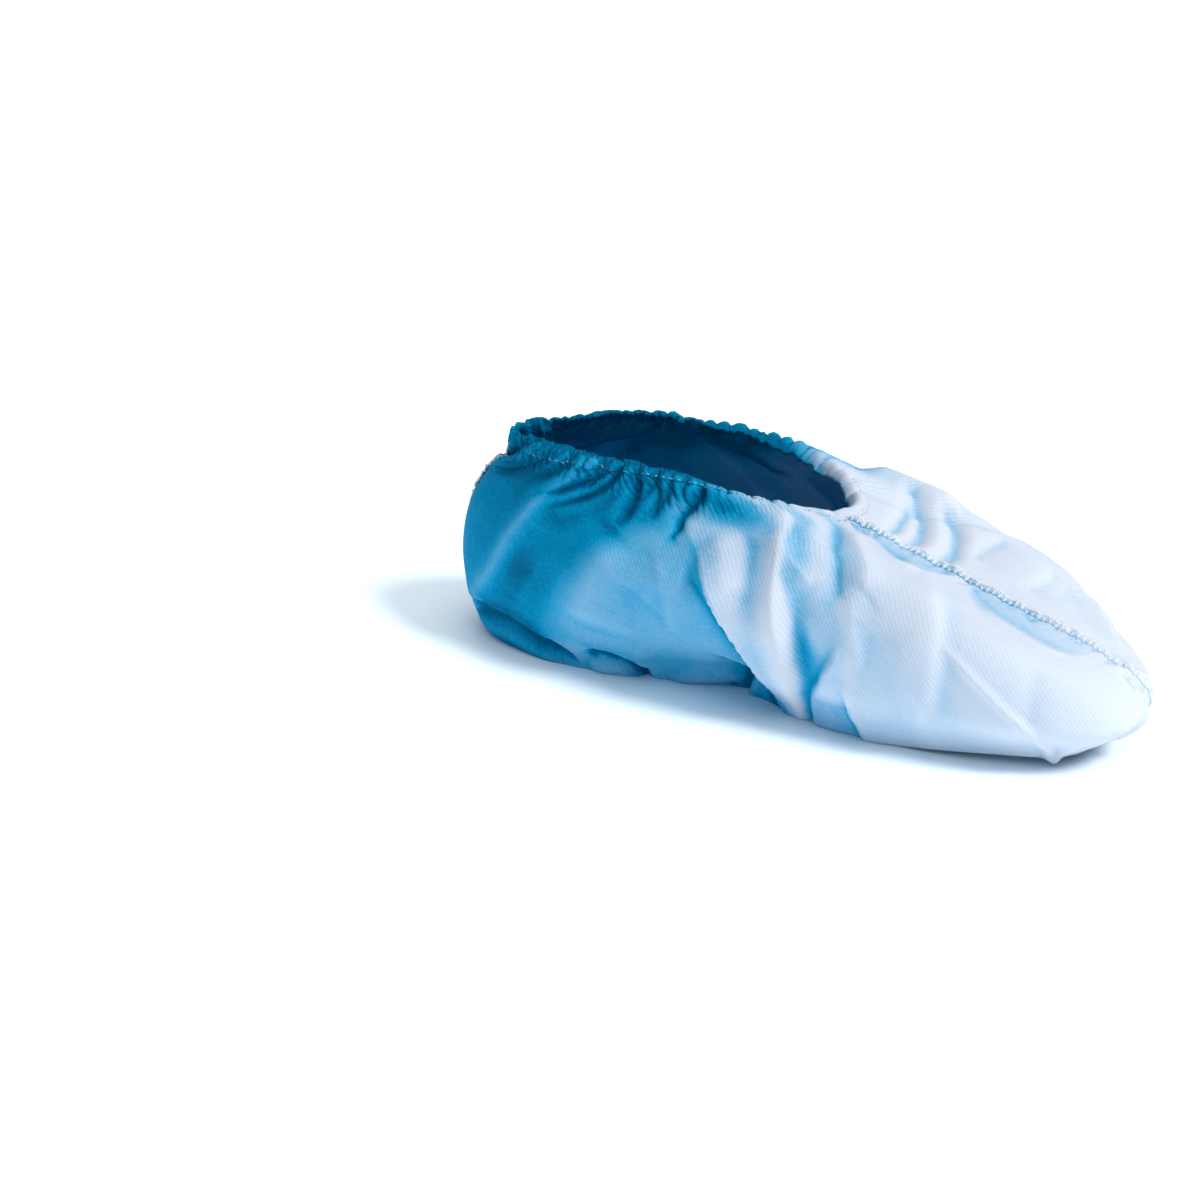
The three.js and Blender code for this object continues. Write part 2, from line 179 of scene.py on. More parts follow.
def at_place(grid, around, up):
    """Values of an even grid over the whole form at places around and up."""
    rows, columns = grid.shape[:2]
    a = (np.asarray(around) % 1) * columns
    b = np.clip(np.asarray(up), 0, 1) * (rows - 1)
    i, j = np.floor(a).astype(int), np.minimum(np.floor(b).astype(int), rows - 2)
    fa, fb = (a - i)[..., None], (b - j)[..., None]
    i, k = i % columns, (i + 1) % columns
    low = grid[j, i] * (1 - fa) + grid[j, k] * fa
    high = grid[j + 1, i] * (1 - fa) + grid[j + 1, k] * fa
    return low * (1 - fb) + high * fb


# ---- folds ----
# A fold runs along a path of places (around, up): around is 0 at the middle of the toe and
# 0.5 at the middle of the heel, below 0.5 on the inner side, and up is 0 at the floor edge
# and 1 at the opening. left and right are the widths of its flanks, seen from outside and
# walking along the path. A minus height is a valley. crest is how round its top is, over
# how far the top leans left, and start and end the shares of the height left at each end.
FOLD_COLUMNS = "name path left right height crest over start end"
FOLDS = table(
    FOLD_COLUMNS,
    [
        # heel, inner side
        ("heel ridge", [(0.315, 1.0), (0.385, 0.81), (0.411, 0.68), (0.421, 0.51),
                        (0.439, 0.29), (0.474, 0.10)], 9, 10, 3.6, 0.3, 0, 0.6, 0.7),
        ("heel pleat, high", [(0.297, 1.0), (0.367, 0.88)], 2, 2.5, -2.2, 0.3, 0, 0.8, 0),
        ("heel pleat, low", [(0.274, 0.99), (0.310, 0.94), (0.372, 0.82), (0.403, 0.71)],
         3, 3, -3.0, 0.4, 0, 0.8, 0),
        ("heel tuck", [(0.475, 0.11), (0.443, 0.12), (0.425, 0.115), (0.408, 0.07),
                       (0.388, 0.02)], 1.6, 6, -5.5, 0.4, 0, 0.3, 0),
        ("heel tuck, lip", [(0.462, 0.165), (0.428, 0.15), (0.395, 0.09)], 9, 1.6, 2.0, 0.3,
         -1.6, 0, 0),
        ("shaded tuck", [(0.479, 0.06), (0.460, 0.09), (0.439, 0.11), (0.414, 0.065),
                         (0.392, 0.04)], 1.6, 2.4, -1.2, 0.6, 0, 0, 0),
        ("shaded tuck, front", [(0.372, 0.07), (0.360, 0.07), (0.348, 0.03)], 1.6, 2.4, -1.2,
         0.6, 0, 0, 0.3),
        ("heel hem roll", [(0.482, 0.04), (0.44, 0.045), (0.40, 0.0)], 4, 6, 3.0, 1.0, 1.0,
         0.2, 0.3),
        # arch
        ("arch tuck", [(0.386, 0.065), (0.371, 0.085), (0.358, 0.065), (0.345, 0.0)],
         1.6, 5, -4.5, 0.4, 0, 0.1, 0.5),
        ("arch tuck, lip", [(0.39, 0.12), (0.362, 0.125), (0.338, 0.06)], 8, 1.6, 1.8, 0.3,
         -1.2, 0, 0),
        ("arch hem roll", [(0.386, 0.02), (0.362, 0.03), (0.350, 0.0)], 4, 5, 2.4, 0.8, 0,
         0, 0.6),
        ("arch hem roll, front", [(0.335, 0.0), (0.310, 0.03), (0.290, 0.03), (0.285, 0.0)],
         6, 4, 2.6, 1.2, 0, 0.2, 0.9),
        ("arch hem notch", [(0.283, -0.02), (0.278, 0.06), (0.270, 0.14)], 13, 1.6, -8.0, 0.3,
         0, 1.0, 0),
        ("arch tuck end", [(0.349, -0.02), (0.345, 0.05)], 6, 1.5, -4.0, 0.3, 0, 1.0, 0),
        ("ankle dome", [(0.333, 0.61), (0.351, 0.50), (0.364, 0.36), (0.372, 0.20)],
         20, 12, 3.4, 5, 0, 0, 0),
        ("ankle dish", [(0.330, 0.48), (0.335, 0.34), (0.345, 0.22)], 12, 10, -0.8, 4, 0, 0, 0),
        ("ankle crease", [(0.306, 0.60), (0.305, 0.46), (0.316, 0.25)], 6, 3.0, 0.9, 0.6,
         0, 0.2, 0),
        ("ankle pleat, rear", [(0.263, 0.97), (0.294, 0.85), (0.340, 0.66)], 3.2, 3.2, -4.6,
         0.4, 0, 0.8, 0),
        ("ankle pleat, middle", [(0.235, 0.97), (0.272, 0.84), (0.300, 0.72)], 2.6, 2.6,
         -2.8, 0.3, 0, 0.8, 0),
        ("ankle pleat, front", [(0.194, 0.93), (0.260, 0.78), (0.286, 0.67)], 3.2, 3.4, -4.8,
         0.4, 0, 0.8, 0.3),
        # instep
        ("instep overlap", [(0.267, 0.66), (0.271, 0.56), (0.269, 0.41), (0.265, 0.32),
                            (0.258, 0.23), (0.249, 0.09), (0.240, -0.02)], 18, 2.0, 4.4, 0.3,
         -1.2, 0, 0.9),
        ("instep hollow", [(0.284, 0.62), (0.282, 0.42), (0.275, 0.28), (0.256, 0.02)],
         2.6, 15, -2.6, 1.5, 0, 0.1, 0.4),
        ("instep crest", [(0.106, 0.91), (0.168, 0.77), (0.208, 0.63), (0.225, 0.52),
                          (0.233, 0.44), (0.237, 0.31), (0.237, 0.22), (0.234, -0.02)], 7, 14,
         4.2, 0.3, 0, 0.5, 0.7),
        ("instep valley", [(0.190, 0.80), (0.226, 0.63), (0.243, 0.52), (0.257, 0.42)],
         9, 12, -2.4, 3.5, 0, 0.3, 0),
        ("instep facet ridge", [(0.235, 0.74), (0.254, 0.58), (0.260, 0.47)], 10, 8, 1.2,
         0.8, 0, 0, 0),
        ("instep flap edge", [(0.247, 0.44), (0.247, 0.33), (0.246, 0.15)], 7, 5, 0.8, 0.6,
         0, 0, 0),
        ("deep trough", [(0.206, 0.56), (0.220, 0.42), (0.227, 0.28), (0.229, 0.12),
                         (0.226, -0.02)], 7, 8, -3.4, 2.2, 0, 0.1, 0.9),
        # ball
        ("ball lobe", [(0.190, 0.44), (0.199, 0.37), (0.212, 0.30), (0.222, 0.20),
                       (0.223, 0.09), (0.218, -0.02)], 14, 2.0, 2.6, 0.4, -0.8, 0, 0.9),
        ("throat pleat", [(0.006, 0.99), (0.097, 0.81), (0.151, 0.66), (0.182, 0.52)],
         5, 6, -2.6, 1.0, 0, 0.8, 0),
        ("throat pleat, flank", [(0.025, 0.94), (0.071, 0.82), (0.128, 0.66), (0.15, 0.58)],
         10, 4, 1.6, 0.5, 0, 0, 0),
        ("throat crest", [(0.150, 0.82), (0.176, 0.72), (0.186, 0.58)], 4, 7, 1.8, 0.25,
         0, 0, 0),
        ("ball streak, pale", [(0.152, 0.62), (0.177, 0.48), (0.190, 0.33)], 4, 6, 1.0, 0.3,
         0, 0, 0),
        ("ball streak, deep", [(0.148, 0.56), (0.168, 0.46), (0.184, 0.34)], 6, 6, -0.4,
         1.2, 0, 0, 0),
        ("ball crease", [(0.138, 0.65), (0.148, 0.54)], 2, 3, -0.6, 0.5, 0, 0, 0),
        ("ball edge", [(0.202, 0.31), (0.197, 0.13), (0.181, -0.02)], 12, 1.4, 2.4, 0.25, -0.8,
         0, 0.9),
        ("ball ribbed crest", [(0.146, 0.50), (0.157, 0.33), (0.153, 0.08)], 9, 6, 1.4, 0.6, 0,
         0, 0.2),
        # toe
        ("toe crest", [(0.118, 0.52), (0.114, 0.42), (0.107, 0.34), (0.097, 0.25),
                       (0.082, 0.13), (0.060, -0.02)], 2.2, 2.6, 1.7, 0.2, 0, 0, 1.0),
        ("toe fold", [(0.029, 0.78), (0.079, 0.66), (0.124, 0.49), (0.149, 0.32),
                      (0.156, 0.18)], 5, 12, 1.8, 1.5, 0, 0.2, 0),
        ("toe hollow", [(0.046, 0.70), (0.079, 0.61), (0.111, 0.51), (0.133, 0.39),
                        (0.144, 0.26), (0.146, 0.12)], 12, 6, -1.4, 3.0, 0, 0, 0),
        ("cap dent", [(0.060, 0.50), (0.085, 0.34), (0.100, 0.22)], 6, 6, -0.9, 1.4, 0, 0, 0),
        ("cap crease", [(0.006, 0.44), (0.014, 0.34)], 1.5, 1.8, -1.0, 0.25, 0, 0, 0),
        ("cap tuck", [(0.050, 0.12), (0.064, -0.02)], 2, 4, -1.6, 0.4, 0, 0, 0.9),
        ("toe end notch", [(0.012, 0.30), (0.018, 0.20), (0.026, 0.06)], 5, 1.4, 2.4, 0.3,
         0, 0, 0.2),
        # front seam
        ("seam hollow, high", [(0.005, 0.97), (0.016, 0.90), (0.024, 0.85), (0.026, 0.80)],
         3.0, 5, -2.0, 1.0, 0, 0.5, 0),
        ("seam hollow, low", [(0.008, 0.74), (0.020, 0.68), (0.022, 0.61), (0.022, 0.56),
                              (0.016, 0.52)], 4, 6, -1.8, 1.5, 0, 0.3, 0),
        ("seam shelf, high", [(0.015, 0.93), (0.033, 0.86), (0.043, 0.80), (0.036, 0.77)],
         8, 2.2, 1.4, 0.3, 0, 0, 0),
        ("seam shelf, low", [(0.021, 0.72), (0.036, 0.64), (0.037, 0.58), (0.036, 0.545),
                             (0.022, 0.51)], 9, 2.4, 1.6, 0.3, 0, 0, 0),
        ("seam hollow, outer", [(0.993, 0.97), (0.990, 0.70), (0.985, 0.50), (0.984, 0.30)],
         3.0, 2.0, -1.2, 0.6, 0, 0.9, 0),
        # outer side
        ("outer pleat, rear", [(0.911, 0.86), (0.951, 0.905), (0.989, 0.92)], 3.2, 4.0, -2.8,
         1.2, 0, 0.6, 0.4),
        ("outer pleat, middle", [(0.880, 0.81), (0.946, 0.865), (0.990, 0.88)], 3.6, 4.4,
         -3.8, 1.4, 0, 0.7, 0.9),
        ("outer pleat, front", [(0.896, 0.77), (0.949, 0.805), (0.989, 0.82)], 3.6, 4.4,
         -3.6, 1.4, 0, 0.7, 0.9),
        ("outer toe flat", [(0.926, 0.60), (0.961, 0.54), (0.992, 0.43), (0.008, 0.34)], 11, 11,
         -4.5, 7, 0, 0.1, 0.1),
        ("outer puff", [(0.835, 0.84), (0.858, 0.77), (0.888, 0.72)], 9, 7, 5.0, 2.0, 0, 0, 0),
        ("outer facet, high", [(0.900, 0.66), (0.935, 0.74), (0.966, 0.79)], 9, 4, -1.8, 0.9,
         0, 0, 0),
        ("outer facet, toe", [(0.915, 0.57), (0.945, 0.63), (0.975, 0.69)], 9, 4, -1.5, 0.9,
         0, 0, 0),
        ("outer instep crest", [(0.760, 0.92), (0.775, 0.50), (0.800, -0.02)], 13, 2.4, 4.6,
         0.4, -1.5, 0.3, 0.7),
        ("outer instep hollow", [(0.735, 0.85), (0.750, 0.45), (0.772, 0.02)], 3, 12, -3.6,
         1.2, 0, 0.3, 0.3),
        ("outer throat pleat", [(0.930, 0.99), (0.880, 0.60), (0.850, 0.40)], 4, 4, -3.0, 0.5,
         0, 0.8, 0),
        ("outer ankle ridge", [(0.660, 0.92), (0.690, 0.50), (0.700, 0.18)], 8, 9, 3.6, 0.4,
         0, 0.4, 0),
        ("outer ankle pleat", [(0.700, 0.98), (0.712, 0.80), (0.728, 0.62)], 3.2, 3.2, -3.8,
         0.4, 0, 0.8, 0),
        ("outer heel ridge", [(0.610, 1.0), (0.585, 0.60), (0.560, 0.30), (0.545, 0.10)],
         8, 8, 3.0, 0.3, 0, 0.5, 0.3),
        ("outer heel tuck", [(0.540, 0.12), (0.590, 0.10), (0.630, 0.05)], 6, 1.8, -4.6, 0.4,
         0, 0.3, 0),
        ("outer arch crease", [(0.655, 0.55), (0.640, 0.30)], 3, 5, -1.6, 0.3, 0, 0, 0),
        ("outer ball crest", [(0.885, 0.52), (0.865, 0.28), (0.850, -0.02)], 10, 2.2, 3.2, 0.3,
         -0.8, 0, 0.8),
        ("outer ball trough", [(0.845, 0.50), (0.842, 0.25), (0.838, 0.02)], 3, 9, -2.8, 1.0,
         0, 0, 0.4),
        ("outer toe crest", [(0.925, 0.46), (0.935, 0.24), (0.950, -0.02)], 2.6, 2.8, 1.8,
         0.25, 0, 0, 0.8),
    ],
)
# Painted shade in the bottom of some folds, as a deeper blue, by the start of their names; a
# minus value paints a paler highlight along a crest.
FOLD_PAINTED_SHADING = {"heel tuck": 0.3, "arch tuck": 0.3, "shaded tuck": 0.6, "heel ridge": -0.16,
         "heel pleat": 0.16, "ankle pleat": 0.26, "ankle dome": -0.03, "outer pleat": 0.16,
         "pleat": 0.18, "pucker": 0.10, "instep hollow": 0.08, "toe crest": -0.05,
         "outer ankle pleat": 0.2, "outer heel tuck": 0.4}
# Steps along a fold, the share of its length over which each end fades, how far its flanks reach
# in widths of them, which is also the power of their slope, how many times its bends are
# softened, and the power that keeps a fold's painted shade to the bottom of its fold.
FOLD_STEPS = 64
FOLD_FADE = 0.25
FLANK_REACH = 2.0
SOFTEN = 4
PAINTED_SHADING_POWER = 3

# Short folds that the loops below lay out: how many, half width, depth and seed. stray is
# the room in which each may lie about its even place, as a share of their spacing.
# A pleat starts above the opening. It is short at the front seam, and from behind on it may
# be longer. It runs back towards the heel as it runs down, by a slope of around to up that
# fades out at the heel itself.
PLEATS = dict(count=72, wide=1.7, deep=2.2, seed=7, stray=0.7, above=0.15, short=0.05,
              longer=0.30, behind=0.04, behind_soft=0.2, slope=0.35, heel_soft=0.15,
              tilt=0.015)
# A pucker starts beside the seam and reaches out from it, between low and low + span.
PUCKERS = dict(count=34, wide=1.6, deep=0.7, seed=12, stray=0.6, low=0.04, span=0.92,
               beside=0.001, reach=0.008, tilt=0.02)
# A crumple may lie anywhere between low and low + span, in any direction. around and up
# turn its length into shares of the way round and up, about as long in each.
CRUMPLES = dict(count=150, wide=3.0, deep=0.30, seed=23, low=0.05, span=0.85, length=0.12,
                bend=0.3, around=0.5, up=2)

# The toe's floor edge is drawn in and lifted a little, over a reach around from the seam,
# less so at one lip.
TOE_SPRING = dict(lift=4.0, inward=5.5, reach=0.19, fade=0.11, up=0.24, lip=0.060,
                  lip_wide=0.005, lip_share=0.5)


def between(random, low, high):
    """A random number from low to high."""
    return low + (high - low) * random.random()


def either_way(random, most):
    """A random number from half of most below nothing to half of it above."""
    return most * (random.random() - 0.5)


def pleat_rows():
    """The fine gathers that run down from the elastic, each a short valley."""
    random = np.random.default_rng(PLEATS["seed"])
    rows = []
    for k in range(PLEATS["count"]):
        around = (k + 0.5 + either_way(random, PLEATS["stray"])) / PLEATS["count"]
        behind = smooth((to_seam(around) - PLEATS["behind"]) / PLEATS["behind_soft"])
        longer = PLEATS["short"] + PLEATS["longer"] * random.random() ** 1.5
        length = PLEATS["short"] + longer * behind
        slope = PLEATS["slope"] * smooth((0.5 - to_seam(around)) / PLEATS["heel_soft"])
        slope = slope if around < 0.5 else -slope
        lean = slope * (PLEATS["above"] + length) + either_way(random, PLEATS["tilt"])
        wide = PLEATS["wide"] * between(random, 0.7, 1.5)
        deep = PLEATS["deep"] * between(random, 0.5, 1.5)
        path = [(around, 1 + PLEATS["above"]), (around + lean, 1 - length)]
        rows.append((f"pleat {k}", path, wide, wide, -deep, 0.25, 0, 0, 0))
    return table(FOLD_COLUMNS, rows)


def pucker_rows():
    """Small valleys across the front seam, where its thread draws the cloth together."""
    random = np.random.default_rng(PUCKERS["seed"])
    rows = []
    for k in range(PUCKERS["count"]):
        for side in (1, -1):
            spot = k + 0.5 + either_way(random, PUCKERS["stray"])
            up = PUCKERS["low"] + PUCKERS["span"] * spot / PUCKERS["count"]
            reach = side * PUCKERS["reach"] * between(random, 0.5, 1.5)
            deep = PUCKERS["deep"] * between(random, 0.4, 1.3)
            wide = PUCKERS["wide"] * between(random, 0.8, 1.3)
            path = [(PUCKERS["beside"] * side, up),
                    (reach, up + either_way(random, PUCKERS["tilt"]))]
            rows.append((f"pucker {k}", path, wide, wide, -deep, 0.3, 0, 0.9, 0))
    return table(FOLD_COLUMNS, rows)


def along_crumple(place, length, turn):
    """The place a length away from another, in the direction of turn."""
    around, up = place
    return (around + length * CRUMPLES["around"] * math.cos(turn),
            up + length * CRUMPLES["up"] * math.sin(turn))


def crumple_rows():
    """Faint, nearly straight creases and ridges of handling, all over the cloth."""
    random = np.random.default_rng(CRUMPLES["seed"])
    rows = []
    for k in range(CRUMPLES["count"]):
        start = (random.random(), CRUMPLES["low"] + CRUMPLES["span"] * random.random())
        turn = 2 * np.pi * random.random()
        length = CRUMPLES["length"] * (0.5 + random.random() ** 2)
        bend = either_way(random, CRUMPLES["bend"])
        middle = along_crumple(start, 0.5 * length, turn + bend)
        end = along_crumple(start, length, turn)
        wide = CRUMPLES["wide"] * between(random, 1, 2)
        high = CRUMPLES["deep"] * np.clip(random.normal(), -1, 1)
        rows.append((f"crumple {k}", [start, middle, end], wide, wide, high, 0.3, 0, 0, 0))
    return table(FOLD_COLUMNS, rows)


def fold_route(row, form, out):
    """Points and left directions along a fold, and the share of its height at each."""
    knots = np.array(row["path"], dtype=float)
    places = at_place(form, knots[:, 0], knots[:, 1])
    run = np.concatenate([[0], np.cumsum(np.linalg.norm(np.diff(places, axis=0), axis=1))])
    t = np.linspace(0, 1, FOLD_STEPS + 1)
    around = np.interp(t, run / run[-1], knots[:, 0])
    up = np.interp(t, run / run[-1], knots[:, 1])
    for _ in range(SOFTEN if len(knots) > 2 else 0):
        around[2:-2] = (around[:-4] + around[2:-2] + around[4:]) / 3
        up[2:-2] = (up[:-4] + up[2:-2] + up[4:]) / 3
    points = at_place(form, around, up)
    left = unit(np.cross(unit(at_place(out, around, up)), np.gradient(points, axis=0)))
    rise = row["start"] + (1 - row["start"]) * smooth(t / FOLD_FADE)
    fall = row["end"] + (1 - row["end"]) * smooth((1 - t) / FOLD_FADE)
    return points, left, rise * fall


def painted_shading_of(name):
    """The painted shade of the longest name in the table that this fold's name starts with;
    below nothing it is a painted highlight.
    """
    named = [key for key in FOLD_PAINTED_SHADING if name.startswith(key)]
    return FOLD_PAINTED_SHADING[max(named, key=len)] if named else 0


def add_fold(row, grid, form, out, height, lean, painted_shading):
    """Adds one fold's height, sideways lean and painted shade to the grids of those."""
    points, left, share = fold_route(row, form, out)
    reach = FLANK_REACH * max(row["left"], row["right"]) + row["crest"]
    low, high = points.min(0) - reach, points.max(0) + reach
    near = np.all((grid > low) & (grid < high), axis=-1)
    if not near.any():
        return
    away = grid[near][:, None, :] - points[None, :, :]
    square = np.einsum("ijk,ijk->ij", away, away)
    step = square.argmin(1)
    rows = np.arange(len(step))
    offset = np.einsum("ij,ij->i", away[rows, step], left[step])
    width = np.where(offset > 0, row["left"], row["right"])
    rounded = np.sqrt(square[rows, step] + row["crest"] ** 2) - row["crest"]
    flank = np.clip(1 - rounded / width / FLANK_REACH, 0, 1) ** FLANK_REACH
    shape = share[step] * flank
    height[near] += row["height"] * shape
    lean[near] += (row["over"] * shape)[:, None] * left[step]
    painted_shading[near] += painted_shading_of(row["name"]) * share[step] * flank ** PAINTED_SHADING_POWER


def toe_spring(around, up):
    """How much of the toe's lift each point has, less at the lip where a crease ends."""
    from_toe = to_seam(around)
    share = smooth((TOE_SPRING["reach"] - from_toe) / TOE_SPRING["fade"])
    lip = bell(around, TOE_SPRING["lip"], TOE_SPRING["lip_wide"])
    share = share * (1 - TOE_SPRING["lip_share"] * lip)
    return share * (1 - smooth(up / TOE_SPRING["up"]))


def folded_form(grid, grid_out, form, out, around, up):
    """The smooth grid with its folds pressed in, and the shade painted into its folds as a
    deeper blue.
    """
    height = np.zeros(grid.shape[:2])
    lean = np.zeros(grid.shape)
    painted_shading = np.zeros(grid.shape[:2])
    for row in FOLDS + pleat_rows() + pucker_rows() + crumple_rows():
        add_fold(row, grid, form, out, height, lean, painted_shading)
    folded = grid + grid_out * height[..., None] + lean
    folded[0, :, 2] = LYING
    folded[..., 2] = np.maximum(folded[..., 2], LYING)
    spring = toe_spring(around, up)
    level = grid_out * np.array([1, 1, 0])
    folded = folded - level * (TOE_SPRING["inward"] * spring)[..., None]
    folded[..., 2] += TOE_SPRING["lift"] * spring
    return folded, painted_shading


# ---- cloth solver ----
# The cloth has some length to spare and is left to settle, first every fourth point of it,
# then every second, then all. Each level starts with a shake of all that isn't firmly held.
SETTLE = table("step rounds noise", [(4, 220, 0.6), (2, 180, 0.25), (1, 110, 0.08)])
SHAKE = dict(held=0.1, seed=3)
# Stiffness across the squares and in bending, against 1 along a thread; and the share of its
# speed that a point keeps from round to round.
SHEAR_STIFF = 0.6
BEND_STIFF = 0.06
DAMPING = 0.9
# How far the cloth may stand in and out of the smooth form, in millimetres. Low down it may
# stand out least, and least of all before the place behind, at the toe.
INSET = 8.0
OUTSET = dict(toe=0.6, low=2.4, high=5.0, behind=0.13, behind_soft=0.04, up=0.03,
              up_soft=0.2)
# The length to spare, as shares of the length that the cloth fills: everywhere, over the
# arch, along the front seam, and in the gathers under the elastic. The gathers begin lower
# and are fuller behind the toe, and they come and go in waves round the cover. rise is how
# much of the arch's spare goes up the side as well.
SPARE = dict(everywhere=0.006, seam=0.05, seam_wide=0.012, rise=0.3)
SPARE_ARCH = dict(most=0.03, around=0.27, wide=0.07, up=0.4, tall=0.3)
GATHERS = dict(front=0.07, more=0.19, more_from=0.16, more_soft=0.16, begin=0.90, lower=0.14,
               lower_from=0.05, lower_soft=0.2, full=0.96)
GATHER_WAVES = table("share count phase", [(0.35, 5, 0), (0.25, 9, 1)])
# How firmly the cloth is held to its place, up to 1: firmly along the floor edge and the
# seams, less over the sides, and least under the opening.
HOLD = dict(sides=0.16, less=0.15, less_from=0.55, less_soft=0.3, floor_tall=0.02,
            opening=0.05, opening_from=0.93, opening_soft=0.05, front_seam=0.3,
            heel_seam=0.1, seam_wide=0.004)


def doubled(field):
    """A grid of values with a row and a column put in between each pair."""
    rows, columns = field.shape[:2]
    wide = np.empty((rows, 2 * columns, *field.shape[2:]))
    wide[:, 0::2] = field
    wide[:, 1::2] = 0.5 * (field + np.roll(field, -1, 1))
    result = np.empty((2 * rows - 1, 2 * columns, *field.shape[2:]))
    result[0::2] = wide
    result[1::2] = 0.5 * (wide[1:] + wide[:-1])
    return result


def threads(target, spare_around, spare_up):
    """Pairs of points that keep their distance, in sets that share no point."""
    rows, columns = target.shape[:2]
    number = np.arange(rows * columns).reshape(rows, columns)
    ahead = np.roll(number, -1, 1)
    behind = np.roll(number, 1, 1)
    two_ahead = np.roll(number, -2, 1)
    spots = target.reshape(-1, 3)
    round_spare = ((np.roll(target, -1, 1) - target) * spare_around[..., None]).reshape(-1, 3)
    rise_spare = (np.gradient(target, axis=0) * spare_up[..., None]).reshape(-1, 3)
    sets = []

    def add(first, second, stiff, round_steps, rise_steps):
        a, b = first.ravel(), second.ravel()
        spare = round_steps * round_spare[a] + rise_steps * rise_spare[a]
        sets.append((a, b, np.linalg.norm(spots[b] - spots[a] + spare, axis=1), stiff))

    by_four = np.arange(columns) % 4
    low = np.arange(rows - 2)
    for odd in (0, 1):
        add(number[:, odd::2], ahead[:, odd::2], 1.0, 1, 0)
        add(number[odd:-1:2], number[odd + 1::2], 1.0, 0, 1)
        add(number[odd:-1:2], ahead[odd + 1::2], SHEAR_STIFF, 1, 1)
        add(number[odd:-1:2], behind[odd + 1::2], SHEAR_STIFF, -1, 1)
        pair = (by_four == 2 * odd) | (by_four == 2 * odd + 1)
        add(number[:, pair], two_ahead[:, pair], BEND_STIFF, 2, 0)
        part = low[(low % 4 == 2 * odd) | (low % 4 == 2 * odd + 1)]
        add(number[part], number[part + 2], BEND_STIFF, 0, 2)
    return sets


def settled(target, form, out, spare_around, spare_up, pull, outset):
    """Lets cloth with some length to spare settle round its folds, coarse to fine."""
    random = np.random.default_rng(SHAKE["seed"])
    moved = None
    for level in SETTLE:
        step = level["step"]
        aim = target[::step, ::step]
        base = form[::step, ::step]
        normal = out[::step, ::step]
        hold = pull[::step, ::step, None] * step ** 0.5
        most = outset[::step, ::step]
        rows, columns = aim.shape[:2]
        moved = np.zeros(aim.shape) if moved is None else doubled(moved)
        shake = random.normal(size=(rows, columns, 1)) * level["noise"] * normal
        cloth = aim + moved + shake * (hold < SHAKE["held"])
        sets = threads(aim, spare_around[::step, ::step], spare_up[::step, ::step])
        before = cloth.copy()
        for _ in range(level["rounds"]):
            speed = (cloth - before) * DAMPING
            before = cloth.copy()
            cloth = cloth + speed
            flat = cloth.reshape(-1, 3)
            for a, b, rest, stiff in sets:
                gap = flat[b] - flat[a]
                length = np.sqrt(np.einsum("ij,ij->i", gap, gap))
                move = gap * (0.5 * stiff * (1 - rest / length))[:, None]
                flat[a] += move
                flat[b] -= move
            cloth += hold * (aim - cloth)
            depth = np.einsum("ijk,ijk->ij", cloth - base, normal)
            cloth += (np.clip(depth, -INSET, most) - depth)[..., None] * normal
            cloth[..., 2] = np.maximum(cloth[..., 2], LYING)
        moved = cloth - aim
    return cloth


def spare_cloth(around, up):
    """How much longer the cloth is than its place, as shares around and up the form."""
    uneven = 1
    for wave in GATHER_WAVES:
        turn = 2 * np.pi * wave["count"] * around + wave["phase"]
        uneven = uneven + wave["share"] * np.sin(turn)
    from_seam = to_seam(around)
    lower = smooth((from_seam - GATHERS["lower_from"]) / GATHERS["lower_soft"])
    begin = GATHERS["begin"] - GATHERS["lower"] * lower
    more = smooth((from_seam - GATHERS["more_from"]) / GATHERS["more_soft"])
    amount = GATHERS["front"] + GATHERS["more"] * more
    gathers = amount * smooth((up - begin) / (GATHERS["full"] - begin)) * uneven
    arch = SPARE_ARCH["most"] * bell(around, SPARE_ARCH["around"], SPARE_ARCH["wide"])
    arch = arch * bell(up, SPARE_ARCH["up"], SPARE_ARCH["tall"])
    seam = SPARE["seam"] * bell(from_seam, 0, SPARE["seam_wide"]) * np.ones_like(up)
    plain = SPARE["everywhere"]
    return plain + gathers + arch, plain + SPARE["rise"] * arch + seam


def pull_to_place(around, up):
    """How firmly the cloth is held to its place at each point."""
    less = smooth((up - HOLD["less_from"]) / HOLD["less_soft"])
    sides = HOLD["sides"] - HOLD["less"] * less
    floor_edge = bell(up, 0, HOLD["floor_tall"])
    opening = smooth((up - HOLD["opening_from"]) / HOLD["opening_soft"])
    opening = HOLD["opening"] * opening
    front_seam = HOLD["front_seam"] * bell(to_seam(around), 0, HOLD["seam_wide"])[None, :]
    heel_seam = HOLD["heel_seam"] * bell(around, 0.5, HOLD["seam_wide"])[None, :]
    return np.clip(sides + floor_edge + opening + front_seam + heel_seam, 0, 1)


def outset_from_form(around, up):
    """How far out of the smooth form the cloth may stand at each point."""
    behind_toe = smooth((to_seam(around) - OUTSET["behind"]) / OUTSET["behind_soft"])[None, :]
    low = OUTSET["toe"] + (OUTSET["low"] - OUTSET["toe"]) * behind_toe
    return low + (OUTSET["high"] - low) * smooth((up - OUTSET["up"]) / OUTSET["up_soft"])


# ---- laying out the cloth ----
def cloth_top(around):
    """The place up where the hem begins, at each place around."""
    span = 0.05
    rows = smooth_form(around, np.array([1 - span, 1.0]))
    rise = np.linalg.norm(rows[1] - rows[0], axis=-1) / span
    return 1 - HEM_TALL / rise


def row_places(top):
    """The place up of every point: the rows of the cloth, then those of the hem."""
    share = np.linspace(0, 1, CLOTH_ROWS + 1)[:, None]
    share = share + ROW_CROWD * np.sin(np.pi * share) / np.pi
    hem = np.linspace(0, 1, HEM_ROWS + 1)[1:, None]
    return np.concatenate([share * top, top + hem * (1 - top)])


